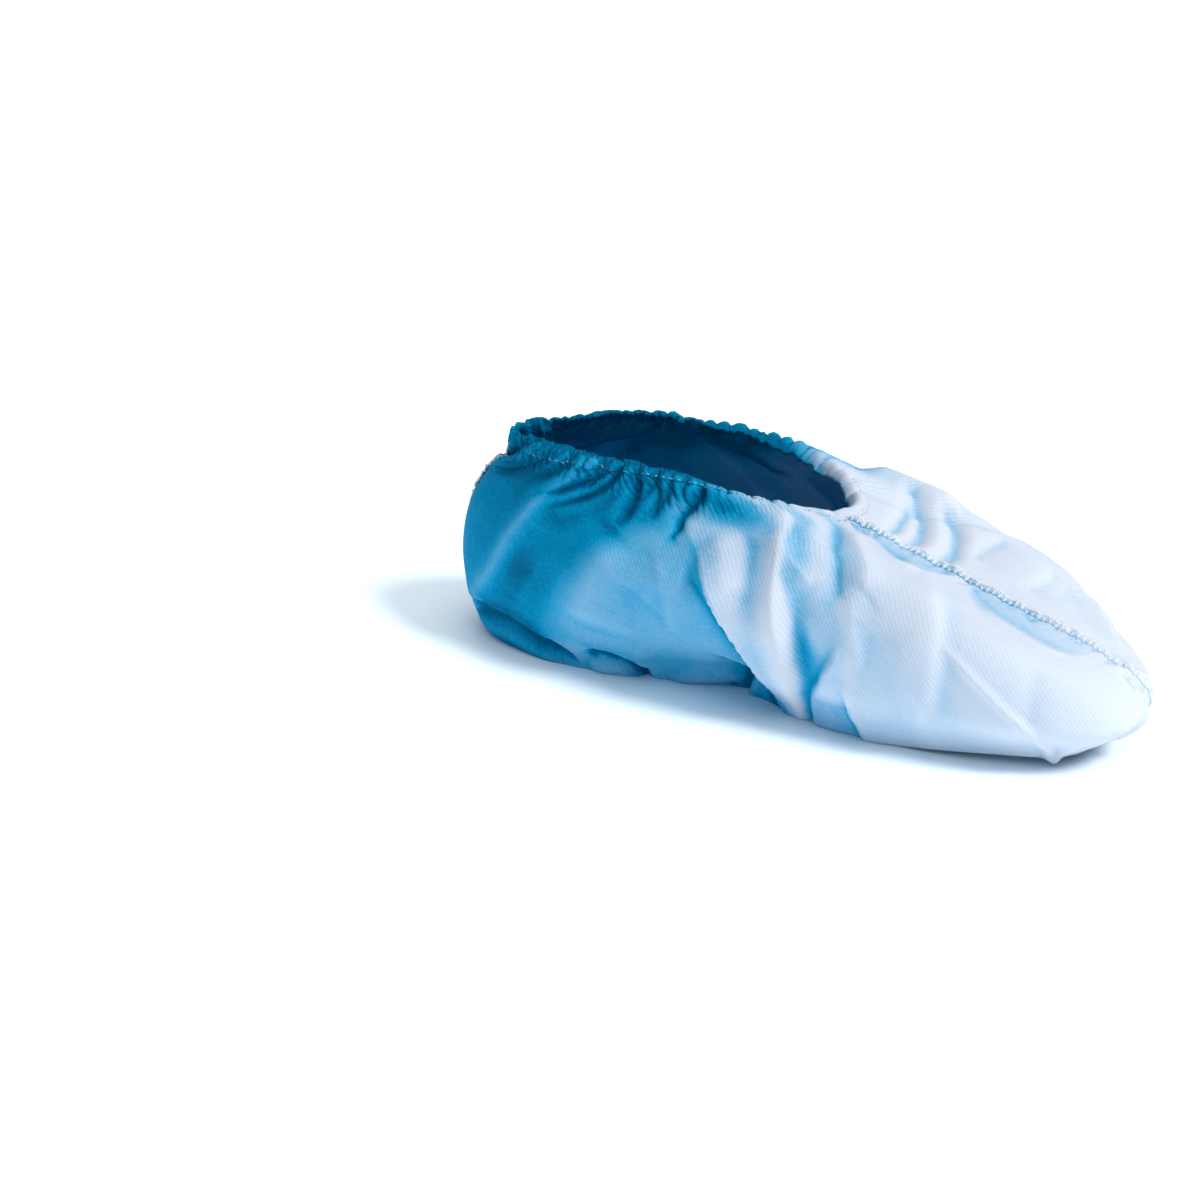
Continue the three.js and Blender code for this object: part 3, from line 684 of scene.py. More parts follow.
def spread_rows(grid, up):
    """The grid again with its rows moved to the places up."""
    whole = np.linspace(0, 1, len(grid))
    result = np.empty((*up.shape, 3))
    for i in range(up.shape[1]):
        for k in range(3):
            result[:, i, k] = np.interp(up[:, i], whole, grid[:, i, k])
    return result


def flat_places(grid):
    """Where each point lay in the flat cloth, along its side and up from the floor edge.

    Along starts at the middle of the foot, and up is square to the rows.
    """
    ahead = np.roll(grid, -1, 1) - grid
    step = np.linalg.norm(ahead, axis=-1)
    half = grid.shape[1] // 2
    run = np.concatenate([np.zeros((len(grid), 1)), np.cumsum(step, axis=1)], axis=1)
    along = np.empty(grid.shape[:2])
    for j, row in enumerate(run):
        x = grid[j, :, 0]
        along[j, :half] = row[:half] - np.interp(0, -x[:half], row[:half])
        along[j, half:] = np.interp(0, x[half:], row[half:-1]) - row[half:-1]
    ahead = unit(ahead)[1:]
    rise = np.diff(grid, axis=0)
    rise = rise - np.einsum("ijk,ijk->ij", rise, ahead)[..., None] * ahead
    high = np.cumsum(np.linalg.norm(rise, axis=-1), axis=0)
    high = np.concatenate([np.zeros((1, grid.shape[1])), high])
    return np.stack([along, high], -1)


# ---- painted shade: depth of blue ----
# How deep a blue the cloth is painted, standing for light and shade: pale at the toe where the
# light falls, and deeper towards the heel as painted shade. The pale crest and facet lines are
# painted highlights. Each row is a line up the side, as places (around, up) counted from the toe
# along its own side. Behind it the cloth has a new depth of blue, reached within soft, between
# the heights low and high. These fade, unless low is 0 or high is 1: OPEN_END keeps the blue
# whole as far as the floor edge or the opening.
TOE_DEPTH = 0.07
BLUE_FADE = 0.14
OPEN_END = 10
BLUE_COLUMNS = "name line soft depth low high"
INNER_PAINTED_SHADE = table(
    BLUE_COLUMNS,
    [
        ("seam hollow", [(-0.02, 0.0), (-0.02, 1.0)], 0.002, 0.30, 0, 1),
        ("seam hollow, low", [(-0.02, 0.0), (-0.02, 1.0)], 0.002, 0.20, 0, 0.60),
        ("seam shelf", [(-0.010, 0.0), (-0.010, 0.50), (0.022, 0.52), (0.036, 0.545),
                        (0.037, 0.58), (0.036, 0.64), (0.032, 0.68), (0.021, 0.72),
                        (-0.004, 0.76), (0.004, 0.775), (0.030, 0.79), (0.043, 0.81),
                        (0.036, 0.85), (0.024, 0.89), (0.015, 0.93), (0.004, 0.97),
                        (-0.010, 1.0)], 0.004, 0.07, 0, 1),
        ("toe side", [(0.085, 0.0), (0.12, 0.2), (0.145, 0.45), (0.15, 0.9)], 0.06, 0.20, 0, 1),
        ("ball edge", [(0.182, 0.0), (0.195, 0.12), (0.199, 0.28)], 0.004, 0.46, 0, 0.22),
        ("streak, deep", [(0.190, 0.27), (0.175, 0.40), (0.152, 0.56)], 0.012, 0.24, 0.2, 0.68),
        ("streak, pale", [(0.194, 0.27), (0.184, 0.40), (0.168, 0.55)], 0.010, 0.15, 0.2, 0.68),
        ("throat", [(0.146, 0.57), (0.128, 0.66), (0.071, 0.82), (0.025, 0.94)], 0.02, 0.30,
         0.6, 1),
        ("panel", [(0.205, 0.2), (0.199, 0.32), (0.190, 0.41), (0.177, 0.54)], 0.012, 0.34,
         0.24, 0.64),
        ("throat pleat", [(0.174, 0.55), (0.135, 0.71), (0.076, 0.85), (0.025, 0.96)], 0.012,
         0.34, 0.58, 1),
        ("throat panel", [(0.183, 0.54), (0.144, 0.70), (0.096, 0.83), (0.043, 0.94)], 0.014,
         0.15, 0.58, 1),
        ("panel, rear", [(0.202, 0.53), (0.188, 0.61), (0.170, 0.68), (0.142, 0.76),
                         (0.104, 0.85), (0.072, 0.91)], 0.018, 0.40, 0.5, 1),
        ("ball lobe", [(0.222, 0.0), (0.222, 0.17), (0.214, 0.29), (0.198, 0.37)], 0.005, 0.56,
         0, 0.36),
        ("trough", [(0.222, 0.0), (0.225, 0.12), (0.222, 0.26), (0.214, 0.40)], 0.016, 0.56,
         0, 0.40),
        ("crest, front", [(0.228, 0.0), (0.233, 0.16), (0.231, 0.32), (0.225, 0.41),
                          (0.216, 0.51), (0.204, 0.62), (0.164, 0.76), (0.100, 0.90)], 0.007,
         0.04, 0, 0.92),
        ("crest, rear", [(0.232, 0.0), (0.241, 0.12), (0.243, 0.25), (0.243, 0.40),
                         (0.239, 0.46), (0.230, 0.52), (0.212, 0.62), (0.174, 0.76),
                         (0.119, 0.90)], 0.010, 0.24, 0, 1),
        ("flap", [(0.236, 0.0), (0.246, 0.12), (0.248, 0.25), (0.249, 0.38)], 0.010, 0.34,
         0, 0.36),
        ("wedge", [(0.244, 0.50), (0.222, 0.63), (0.190, 0.77), (0.13, 0.92)], 0.018, 0.46,
         0.47, 1),
        ("facet", [(0.258, 0.43), (0.244, 0.52), (0.229, 0.63), (0.200, 0.78)], 0.012, 0.12,
         0.38, 0.76),
        ("facet, rear", [(0.268, 0.46), (0.258, 0.56), (0.245, 0.67), (0.222, 0.80)], 0.024,
         0.40, 0.48, 1),
        ("overlap", [(0.238, 0.0), (0.249, 0.09), (0.258, 0.23), (0.266, 0.32), (0.270, 0.41),
                     (0.272, 0.56), (0.268, 0.70)], 0.004, 0.74, 0, 1),
        ("arch", [(0.285, 0.0), (0.282, 0.12), (0.274, 0.32), (0.275, 0.56), (0.270, 0.70)],
         0.03, 0.57, 0, 1),
        ("dome", [(0.388, 0.0), (0.374, 0.21), (0.359, 0.36), (0.336, 0.50), (0.310, 0.63),
                  (0.279, 0.76)], 0.03, 0.58, 0, 1),
        ("heel", [(0.410, 0.0), (0.396, 0.21), (0.380, 0.36), (0.357, 0.50), (0.330, 0.63),
                  (0.292, 0.76)], 0.03, 0.90, 0, 1),
    ],
)
OUTER_PAINTED_SHADE = table(
    BLUE_COLUMNS,
    [
        ("toe side", [(0.12, 0.0), (0.17, 0.9)], 0.06, 0.16, 0, 1),
        ("ball", [(0.16, 0.0), (0.19, 0.9)], 0.04, 0.32, 0, 1),
        ("instep", [(0.20, 0.0), (0.23, 0.9)], 0.02, 0.50, 0, 1),
        ("arch", [(0.26, 0.0), (0.30, 0.9)], 0.03, 0.66, 0, 1),
        ("heel", [(0.38, 0.0), (0.33, 0.9)], 0.05, 0.86, 0, 1),
    ],
)
# Under the elastic, along the floor and in the creases still more shade is painted in. A crease
# adds more painted shade at the heel than at the toe, and a crest takes away a share of that as
# a painted highlight. They are found at two sizes, fine and broad, in rows and columns of the
# grid, and count whole when their depth in millimetres is the share full of their size.
RIM_PAINTED_SHADE = dict(depth=1.0, up=0.74, soft=0.16, around=0.10, around_soft=0.10, lower=0.11,
                lower_from=0.245, lower_soft=0.05)
FLOOR_PAINTED_SHADE = dict(more=0.10, up=0.14, around=0.13, around_soft=0.06)
CREASE_PAINTED_SHADE = dict(toe=0.12, heel=0.26, crest=0.35, fine=3, broad=8, broad_share=0.6,
                   full=0.25)
# The blue of the sole, and of each edge strip: at its root, at its free edge, and at the lowest
# end of its root, from where the root changes over STRIP_FADE millimetres. A strip's deep root,
# and the whole heel strip, are painted shade.
SOLE_DEPTH = 0.45
STRIP_PAINTED_SHADE = dict(front=(0.62, 0.05, 0.10), heel=(0.9, 0.6, 0.9))
STRIP_FADE = 130


def painted_shade_of_side(rows, from_toe, up):
    """The depth of blue along one side of the cover, painted shade and highlight, by the lines
    of its table.
    """
    depth = np.full(from_toe.shape, TOE_DEPTH)
    for row in rows:
        line = np.array(row["line"])
        behind = from_toe - np.interp(up, line[:, 1], line[:, 0])
        share = smooth(behind / row["soft"] + 0.5)
        under, over = OPEN_END * (row["high"] >= 1), OPEN_END * (row["low"] <= 0)
        share = share * smooth((row["high"] - up) / BLUE_FADE + 0.5 + under)
        share = share * smooth((up - row["low"]) / BLUE_FADE + 0.5 + over)
        depth = depth + (row["depth"] - depth) * share
    return depth


def blue_with_painted_shade(grid, out, around, up):
    """The depth of blue at each point, with shade painted deeper in the valleys and highlight
    painted paler on the crests.
    """
    from_toe = to_seam(around)[None, :] * np.ones_like(up)
    inner = painted_shade_of_side(INNER_PAINTED_SHADE, from_toe, up)
    outer = painted_shade_of_side(OUTER_PAINTED_SHADE, from_toe, up)
    depth = np.where(around[None, :] < 0.5, inner, outer)
    lower = smooth((from_toe - RIM_PAINTED_SHADE["lower_from"]) / RIM_PAINTED_SHADE["lower_soft"])
    begin = RIM_PAINTED_SHADE["up"] - RIM_PAINTED_SHADE["lower"] * lower
    rim = smooth((up - begin) / RIM_PAINTED_SHADE["soft"])
    rim = rim * smooth((from_toe - RIM_PAINTED_SHADE["around"]) / RIM_PAINTED_SHADE["around_soft"])
    depth = depth + (np.maximum(RIM_PAINTED_SHADE["depth"], depth) - depth) * rim
    low = 1 - smooth(up / FLOOR_PAINTED_SHADE["up"])
    low = low * smooth((from_toe - FLOOR_PAINTED_SHADE["around"]) / FLOOR_PAINTED_SHADE["around_soft"])
    depth = depth + FLOOR_PAINTED_SHADE["more"] * low
    fine = valleys(grid, out, CREASE_PAINTED_SHADE["fine"])
    broad = valleys(grid, out, CREASE_PAINTED_SHADE["broad"])
    share = CREASE_PAINTED_SHADE["toe"] + (CREASE_PAINTED_SHADE["heel"] - CREASE_PAINTED_SHADE["toe"]) * depth
    crease = fine + CREASE_PAINTED_SHADE["broad_share"] * broad
    crease = np.where(crease > 0, crease, CREASE_PAINTED_SHADE["crest"] * crease)
    return np.clip(depth + share * crease, 0, 1)


def valleys(grid, out, reach):
    """How far each point lies under its neighbours, from about -1 on crests to 1."""
    around = 0.5 * (np.roll(grid, reach, 1) + np.roll(grid, -reach, 1))
    padded = np.concatenate([grid[:1]] * reach + [grid] + [grid[-1:]] * reach)
    rise = 0.5 * (padded[2 * reach:] + padded[:-2 * reach])
    deep = np.einsum("ijk,ijk->ij", 0.5 * (around + rise) - grid, out)
    return np.clip(deep / (CREASE_PAINTED_SHADE["full"] * reach), -1, 1)


# ---- making meshes ----
def new_piece(name, points, faces, finish, replaces=(), uv=None, depth=None):
    """A mesh piece from points in millimetres, with its flat places and its depth of blue, which
    carries painted shade.
    """
    mesh = bpy.data.meshes.new(name)
    mesh.from_pydata((np.asarray(points) * MM).tolist(), [], faces)
    mesh.update()
    if uv is not None:
        corners = np.zeros(len(mesh.loops), dtype=np.int32)
        mesh.loops.foreach_get("vertex_index", corners)
        layer = mesh.uv_layers.new(name="cut")
        layer.data.foreach_set("uv", (uv * MM)[corners].astype(np.float32).ravel())
    if depth is not None:
        layer = mesh.attributes.new("depth", "FLOAT", "POINT")
        layer.data.foreach_set("value", depth.astype(np.float32))
    mesh.polygons.foreach_set("use_smooth", np.ones(len(mesh.polygons), dtype=bool))
    piece = bpy.data.objects.new(name, mesh)
    bpy.context.collection.objects.link(piece)
    mesh.materials.append(finish)
    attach(piece, "root")
    if replaces:
        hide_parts(*replaces)
    return piece


def ring_faces(a, b):
    """Quads between two rings of point numbers; they face out when b lies above a."""
    c, d = np.roll(a, -1), np.roll(b, -1)
    return np.stack([a, b, d, c], -1)


def stitch_rings(fine, coarse):
    """Triangles from a ring to one with half its points, facing as ring_faces do."""
    here, middle, ahead = fine[0::2], fine[1::2], np.roll(fine[0::2], -1)
    inner, inner_ahead = coarse, np.roll(coarse, -1)
    first = np.stack([here, inner, middle], -1)
    second = np.stack([middle, inner, inner_ahead], -1)
    third = np.stack([middle, inner_ahead, ahead], -1)
    return np.concatenate([first, second, third])


# Places across the sole, closer at its edges.
SOLE_ACROSS = np.array([0.04, 0.10, 0.2, 0.35, 0.5, 0.65, 0.8, 0.90, 0.96])


def sole_grid(ring, level, first):
    """Points and numbers of a level sheet inside a ring; its numbers start at first."""
    half = len(ring) // 2
    inner_side = ring[1:half]
    outer_side = ring[:half:-1]
    t = SOLE_ACROSS[None, :, None]
    points = inner_side[:, None, :] * (1 - t) + outer_side[:, None, :] * t
    points[..., 2] = level
    numbers = first + np.arange(points.shape[0] * points.shape[1]).reshape(points.shape[:2])
    return points.reshape(-1, 3), numbers


def sole_faces(ring_numbers, within):
    """Faces that look down: the sheet within a ring, its edge and a fan at each end."""
    half = len(ring_numbers) // 2
    inner_side = ring_numbers[1:half]
    outer_side = ring_numbers[:half:-1]
    rows = np.concatenate([inner_side[:, None], within, outer_side[:, None]], 1)
    quads = np.stack([rows[:-1, :-1], rows[:-1, 1:], rows[1:, 1:], rows[1:, :-1]], -1)
    toe, heel = int(ring_numbers[0]), int(ring_numbers[half])
    last = rows.shape[1] - 1
    fans = [(toe, int(rows[0, k + 1]), int(rows[0, k])) for k in range(last)]
    fans += [(heel, int(rows[-1, k]), int(rows[-1, k + 1])) for k in range(last)]
    return quads.reshape(-1, 4).tolist(), fans


def grid_numbers(grid, first=0):
    """The numbers of a grid's points, from first on."""
    rows, columns = grid.shape[:2]
    return first + np.arange(rows * columns).reshape(rows, columns)


def tube_faces(numbers, outward=True):
    """Quads between all rows of a grid of point numbers that closes round."""
    faces = []
    for j in range(len(numbers) - 1):
        low, high = (j, j + 1) if outward else (j + 1, j)
        faces += ring_faces(numbers[low], numbers[high]).tolist()
    return faces


def cover_cloth(grid, out, flat, depth):
    """The shell of the cover as one closed sheet, sides and sole."""
    outer = grid + 0.5 * CLOTH * out
    # The outer face's floor edge goes down to the underside of the sole.
    outer[0, :, 2] -= 0.5 * CLOTH
    outer[0, :, 2] = np.maximum(outer[0, :, 2], FLOOR)
    inner = grid - 0.5 * CLOTH * out
    inner[0] = grid[0] - CLOTH * unit(out[0] + np.array([0, 0, -1.0]))
    coarse = (slice(None, None, INNER_STEP), slice(None, None, INNER_STEP))
    inner = inner[coarse]
    outer_numbers = grid_numbers(outer)
    inner_numbers = grid_numbers(inner, outer_numbers.size)
    count = outer_numbers.size + inner_numbers.size
    under, under_numbers = sole_grid(outer[0], SOLE_TOP - CLOTH, count)
    upper, upper_numbers = sole_grid(inner[0], SOLE_TOP, count + len(under))
    under_quads, under_fans = sole_faces(outer_numbers[0], under_numbers)
    upper_quads, upper_fans = sole_faces(inner_numbers[0], upper_numbers)
    faces = tube_faces(outer_numbers) + tube_faces(inner_numbers, outward=False)
    faces += stitch_rings(outer_numbers[-1], inner_numbers[-1]).tolist()
    faces += under_quads + under_fans
    faces += [face[::-1] for face in upper_quads + upper_fans]
    points = np.concatenate([outer.reshape(-1, 3), inner.reshape(-1, 3), under, upper])
    sole_flat = np.concatenate([under, upper])[:, :2]
    uv = np.concatenate([flat.reshape(-1, 2), flat[coarse].reshape(-1, 2), sole_flat])
    sole_depth = np.full(len(sole_flat), SOLE_DEPTH)
    depths = np.concatenate([depth.ravel(), depth[coarse].ravel(), sole_depth])
    return points, faces, uv, depths


# The hem's section is a sine wave's arch from low to high, squared off by a power.
HEM_ARCH = dict(low=0.14, high=0.86, power=0.6)


def gathered_hem(grid, out, flat, depth):
    """The hem round the opening, a plump band closed above and below."""
    place = np.linspace(HEM_ARCH["low"], HEM_ARCH["high"], len(grid))
    plump = np.sin(np.pi * place)[:, None, None] ** HEM_ARCH["power"]
    outer = grid + out * (0.5 * CLOTH + (0.5 * HEM_THICK) * plump)
    inner = grid - out * (0.5 * HEM_THICK * plump)
    outer_numbers = grid_numbers(outer)
    inner_numbers = grid_numbers(inner, outer_numbers.size)
    faces = tube_faces(outer_numbers) + tube_faces(inner_numbers, outward=False)
    faces += ring_faces(outer_numbers[-1], inner_numbers[-1]).tolist()
    faces += ring_faces(inner_numbers[0], outer_numbers[0]).tolist()
    points = np.concatenate([outer.reshape(-1, 3), inner.reshape(-1, 3)])
    flat = flat.reshape(-1, 2)
    return points, faces, np.concatenate([flat, flat]), np.concatenate([depth.ravel()] * 2)


# ---- sewing ----
# An overlocked edge stands off the cloth along a seam: the two raw edges as a thin strip, a
# cord of thread loops along its top, and a rung of thread down each face at every stitch.
# The strip wavers by some degrees and ruffles by some millimetres from knot to knot. Its
# height is uneven by a share, some steps apart from its wavering, and halves over its ends.
STRIP = dict(tall=3.0, thick=0.8, step=0.4, points=12, power=0.6, knots=60, waver=9,
             flattest=84, ruffle=0.35, uneven=0.10, apart=7, ends=3)
CORD = dict(thick=0.62, loop=1.6, bump=0.34, points=10)
# No rung of thread lies within from_end steps of the strip's ends.
STITCH = dict(pitch=2.8, wide=1.3, high=0.5, slant=0.22, from_end=2)
# lean is in degrees from straight out, plus towards the outer side at the front seam and the
# inner side at the heel; lift is how far the strip stands off the cloth, in millimetres, and
# minus where it sinks in; size is the share of its full height.
FRONT_ROUTE = table(
    "up lean lift size",
    [(0.06, 80, -0.3, 0.5), (0.30, 76, -0.3, 0.5), (0.45, 58, -0.4, 0.7),
     (0.55, 48, -0.5, 1.0), (0.72, 42, -0.5, 0.9), (0.85, 50, -0.5, 1.1),
     (0.985, 40, -0.4, 0.9)],
)
HEEL_ROUTE = table(
    "up lean lift size",
    [(0.08, 80, 0.2, 1.0), (0.5, 78, 0.2, 1.0), (0.985, 80, 0.2, 1.0)],
)
# The needle row runs beside the front seam, on its inner side. proud is how far the middle
# of a stitch stands off the cloth.
NEEDLE = dict(pitch=2.8, long=1.5, wide=0.6, high=0.45, slant=0.35, beside=1.3, proud=0.1,
              low=0.44, top=0.985)
# Directions along a seam are evened out over this many steps.
EVENED = 9


def seam_line(grid, out, places_up, column, low, high, step):
    """Even steps along one column of the cloth: points, directions, places up and lengths."""
    line = grid[:, column] + 0.5 * CLOTH * out[:, column]
    run = np.concatenate([[0], np.cumsum(np.linalg.norm(np.diff(line, axis=0), axis=1))])
    places = places_up[:, column]
    first, last = np.interp([low, high], places, run)
    at = np.linspace(first, last, max(2, int((last - first) / step)))
    points = np.stack([np.interp(at, run, line[:, k]) for k in range(3)], -1)
    outward = unit(np.stack([np.interp(at, run, out[:, column, k]) for k in range(3)], -1))
    kernel = np.ones(EVENED) / EVENED
    padded = np.pad(outward, ((EVENED // 2, EVENED // 2), (0, 0)), mode="edge")
    outward = unit(np.stack([np.convolve(padded[:, k], kernel, "valid") for k in range(3)], -1))
    ahead = unit(np.gradient(points, axis=0))
    side = unit(np.cross(ahead, outward))
    return points, ahead, outward, side, np.interp(at, run, places), at - first


def raised_edge(grid, out, places_up, column, route, seed):
    """The raw edge of a seam at even steps: its root, its three ways, height and length."""
    ups = [row["up"] for row in route]
    points, ahead, outward, side, up, run = seam_line(grid, out, places_up, column, ups[0],
                                                      ups[-1], STRIP["step"])
    random = np.random.default_rng(seed)
    knots = np.linspace(0, run[-1], STRIP["knots"])
    waver = np.interp(run, knots, random.normal(size=STRIP["knots"]))
    lean = np.interp(up, ups, [row["lean"] for row in route]) + STRIP["waver"] * waver
    lean = np.radians(np.clip(lean, -STRIP["flattest"], STRIP["flattest"]))
    tall_way = outward * np.cos(lean)[:, None] + side * np.sin(lean)[:, None]
    thick_way = side * np.cos(lean)[:, None] - outward * np.sin(lean)[:, None]
    ends = smooth(run / STRIP["ends"]) * smooth((run[-1] - run) / STRIP["ends"])
    size = np.interp(up, ups, [row["size"] for row in route]) * (0.5 + 0.5 * ends)
    tall = STRIP["tall"] * size * (1 + STRIP["uneven"] * np.roll(waver, STRIP["apart"]))
    lift = np.interp(up, ups, [row["lift"] for row in route])
    lift = lift + 0.5 * STRIP["thick"] * np.abs(np.sin(lean))
    return dict(root=points + outward * lift[:, None], ahead=ahead, up=tall_way,
                across=thick_way, tall=tall, run=run)


def squarer(wave, power):
    """A sine or cosine squared off by a power under 1."""
    return np.sign(wave) * np.abs(wave) ** power


def edge_strip(edge, seed):
    """The two raw edges of the cloth as one thin strip, ruffled along its free edge."""
    random = np.random.default_rng(seed)
    run = edge["run"]
    knots = np.linspace(0, run[-1], STRIP["knots"])
    ruffle = STRIP["ruffle"] * np.interp(run, knots, random.normal(size=STRIP["knots"]))
    angle = 2 * np.pi * np.arange(STRIP["points"]) / STRIP["points"]
    across = squarer(np.cos(angle), STRIP["power"])
    high = 0.5 + 0.5 * squarer(np.sin(angle), STRIP["power"])
    u = edge["tall"][:, None] * high
    v = 0.5 * STRIP["thick"] * across + ruffle[:, None] * high ** 2
    rings = (edge["root"][:, None] + edge["up"][:, None] * u[..., None]
             + edge["across"][:, None] * v[..., None])
    points, faces = closed_tube(rings)
    flat = np.stack([np.broadcast_to(run[:, None], u.shape), u], -1).reshape(-1, 2)
    flat = np.concatenate([flat, [[run[0], 0], [run[-1], 0]]])
    tops = edge["root"] + edge["up"] * edge["tall"][:, None] + edge["across"] * ruffle[:, None]
    return points, faces, flat, tops


def thread_loops(edge, tops):
    """The cord of loops along the top of a strip, and the rungs down both its faces."""
    run = edge["run"]
    ripple = np.abs(np.sin(np.pi * run / (0.5 * STITCH["pitch"])))
    radius = 0.5 * CORD["thick"] * (1 + CORD["bump"] * (2 * ripple - 1))
    angle = 2 * np.pi * np.arange(CORD["points"]) / CORD["points"]
    around = (edge["up"][:, None] * np.sin(angle)[None, :, None]
              + edge["across"][:, None] * np.cos(angle)[None, :, None])
    loops = around * CORD["loop"] * radius[:, None, None]
    cord_points, cord_faces = closed_tube(tops[:, None] + loops)
    apart = max(1, round(STITCH["pitch"] / STRIP["step"]))
    spots = np.arange(STITCH["from_end"], len(run) - STITCH["from_end"], apart)
    centres, ways, sizes = [], [], []
    for face in (-1, 1):
        down = unit(edge["up"][spots] + face * STITCH["slant"] * edge["ahead"][spots])
        outward = face * edge["across"][spots]
        ways.append(np.stack([down, unit(np.cross(outward, down)), outward], 1))
        middle = edge["root"][spots] + 0.5 * edge["up"][spots] * edge["tall"][spots, None]
        centres.append(middle + 0.5 * STRIP["thick"] * outward)
        long = 0.5 * edge["tall"][spots]
        sizes.append(np.stack([long, np.full_like(long, 0.5 * STITCH["wide"]),
                               np.full_like(long, 0.5 * STITCH["high"])], 1))
    rung_points, rung_faces = grains(np.concatenate(centres), np.concatenate(ways),
                                     np.concatenate(sizes))
    first = len(cord_points)
    faces = cord_faces + [[first + n for n in face] for face in rung_faces]
    return np.concatenate([cord_points, rung_points]), faces


def closed_tube(rings):
    """Points and faces of a tube through rings of points, with a fan at each end."""
    numbers = grid_numbers(rings)
    count = numbers.size
    faces = tube_faces(numbers, outward=False)
    ends = np.stack([rings[0].mean(0), rings[-1].mean(0)])
    for end, ring in ((count, numbers[0]), (count + 1, numbers[-1][::-1])):
        ahead = np.roll(ring, -1)
        faces += [(end, int(a), int(b)) for a, b in zip(ring, ahead)]
    return np.concatenate([rings.reshape(-1, 3), ends]), faces


# A grain's girth follows a sine along it, squared off by this power.
GRAIN_POWER = 0.7


def grains(centres, ways, sizes, rings=6, sides=8):
    """Many rounded grains joined in one mesh, each with its own three ways and sizes."""
    turn = 2 * np.pi * np.arange(sides) / sides
    climb = np.pi * (np.arange(1, rings) / rings)
    along = np.cos(climb)[:, None] * np.ones(sides)
    round_by = np.sin(climb)[:, None] ** GRAIN_POWER
    across = round_by * np.cos(turn)
    high = round_by * np.sin(turn)
    shape = np.stack([along, across, high], -1).reshape(-1, 3)
    shape = np.concatenate([shape, [[1, 0, 0], [-1, 0, 0]]])
    points, faces = [], []
    ring_numbers = np.arange((rings - 1) * sides).reshape(rings - 1, sides)
    tip, tail = len(shape) - 2, len(shape) - 1
    first_ring, last_ring = ring_numbers[0], ring_numbers[-1]
    one = tube_faces(ring_numbers)
    one += [[tip, int(a), int(b)] for a, b in zip(first_ring, np.roll(first_ring, -1))]
    one += [[tail, int(b), int(a)] for a, b in zip(last_ring, np.roll(last_ring, -1))]
    for centre, way, size in zip(centres, ways, sizes):
        first = len(shape) * len(points)
        points.append(centre + (shape * size) @ way)
        faces += [[first + n for n in face] for face in one]
    return np.concatenate(points), faces


def stitch_grains(stitch, centres, slanted, outward, **fineness):
    """A stitch of one size at each centre, lying along slanted and standing outward."""
    across = unit(np.cross(outward, slanted))
    ways = np.stack([slanted, across, np.cross(slanted, across)], 1)
    sizes = np.array([0.5 * stitch["long"], 0.5 * stitch["wide"], 0.5 * stitch["high"]])
    return grains(centres, ways, np.broadcast_to(sizes, centres.shape), **fineness)


def needle_row(grid, out, places_up, column):
    """The stitches that show along a seam, a little to one side of its root."""
    line = seam_line(grid, out, places_up, column, NEEDLE["low"], NEEDLE["top"],
                     NEEDLE["pitch"])
    points, ahead, outward, side = line[:4]
    slanted = unit(ahead + NEEDLE["slant"] * side)
    centres = points + side * -NEEDLE["beside"] + outward * NEEDLE["proud"]
    return stitch_grains(NEEDLE, centres, slanted, outward)


# every is in columns; proud is the share of the hem's half thickness on which they lie.
HEM_STITCH = dict(every=4, long=1.5, wide=0.45, high=0.4, slant=0.35, proud=0.72)


def hem_stitches(grid, out):
    """One stitch for each few columns, round the lower edge of the hem."""
    spots = np.arange(0, grid.shape[1], HEM_STITCH["every"])
    low, above = grid[1, spots], grid[2, spots]
    outward = out[1, spots]
    ahead = unit((np.roll(grid, -1, 1) - np.roll(grid, 1, 1))[1, spots])
    slanted = unit(ahead + HEM_STITCH["slant"] * unit(above - low))
    centres = low + outward * (0.5 * CLOTH + 0.5 * HEM_THICK * HEM_STITCH["proud"])
    return stitch_grains(HEM_STITCH, centres, slanted, outward, rings=5, sides=6)


# ---- finishes ----
class Wire:
    """A shader socket that takes part in Python sums."""

    def __init__(self, finish, socket):
        self.finish = finish
        self.socket = socket

    def sum(self, operation, first, second):
        """A Math node for one sum of two values or sockets."""
        return self.finish.node("Math", {"operation": operation}, {0: first, 1: second})

    def __add__(self, other):
        return self.sum("ADD", self, other)

    def __sub__(self, other):
        return self.sum("SUBTRACT", self, other)

    def __rsub__(self, other):
        return self.sum("SUBTRACT", other, self)

    def __mul__(self, other):
        return self.sum("MULTIPLY", self, other)

    __radd__ = __add__
    __rmul__ = __mul__


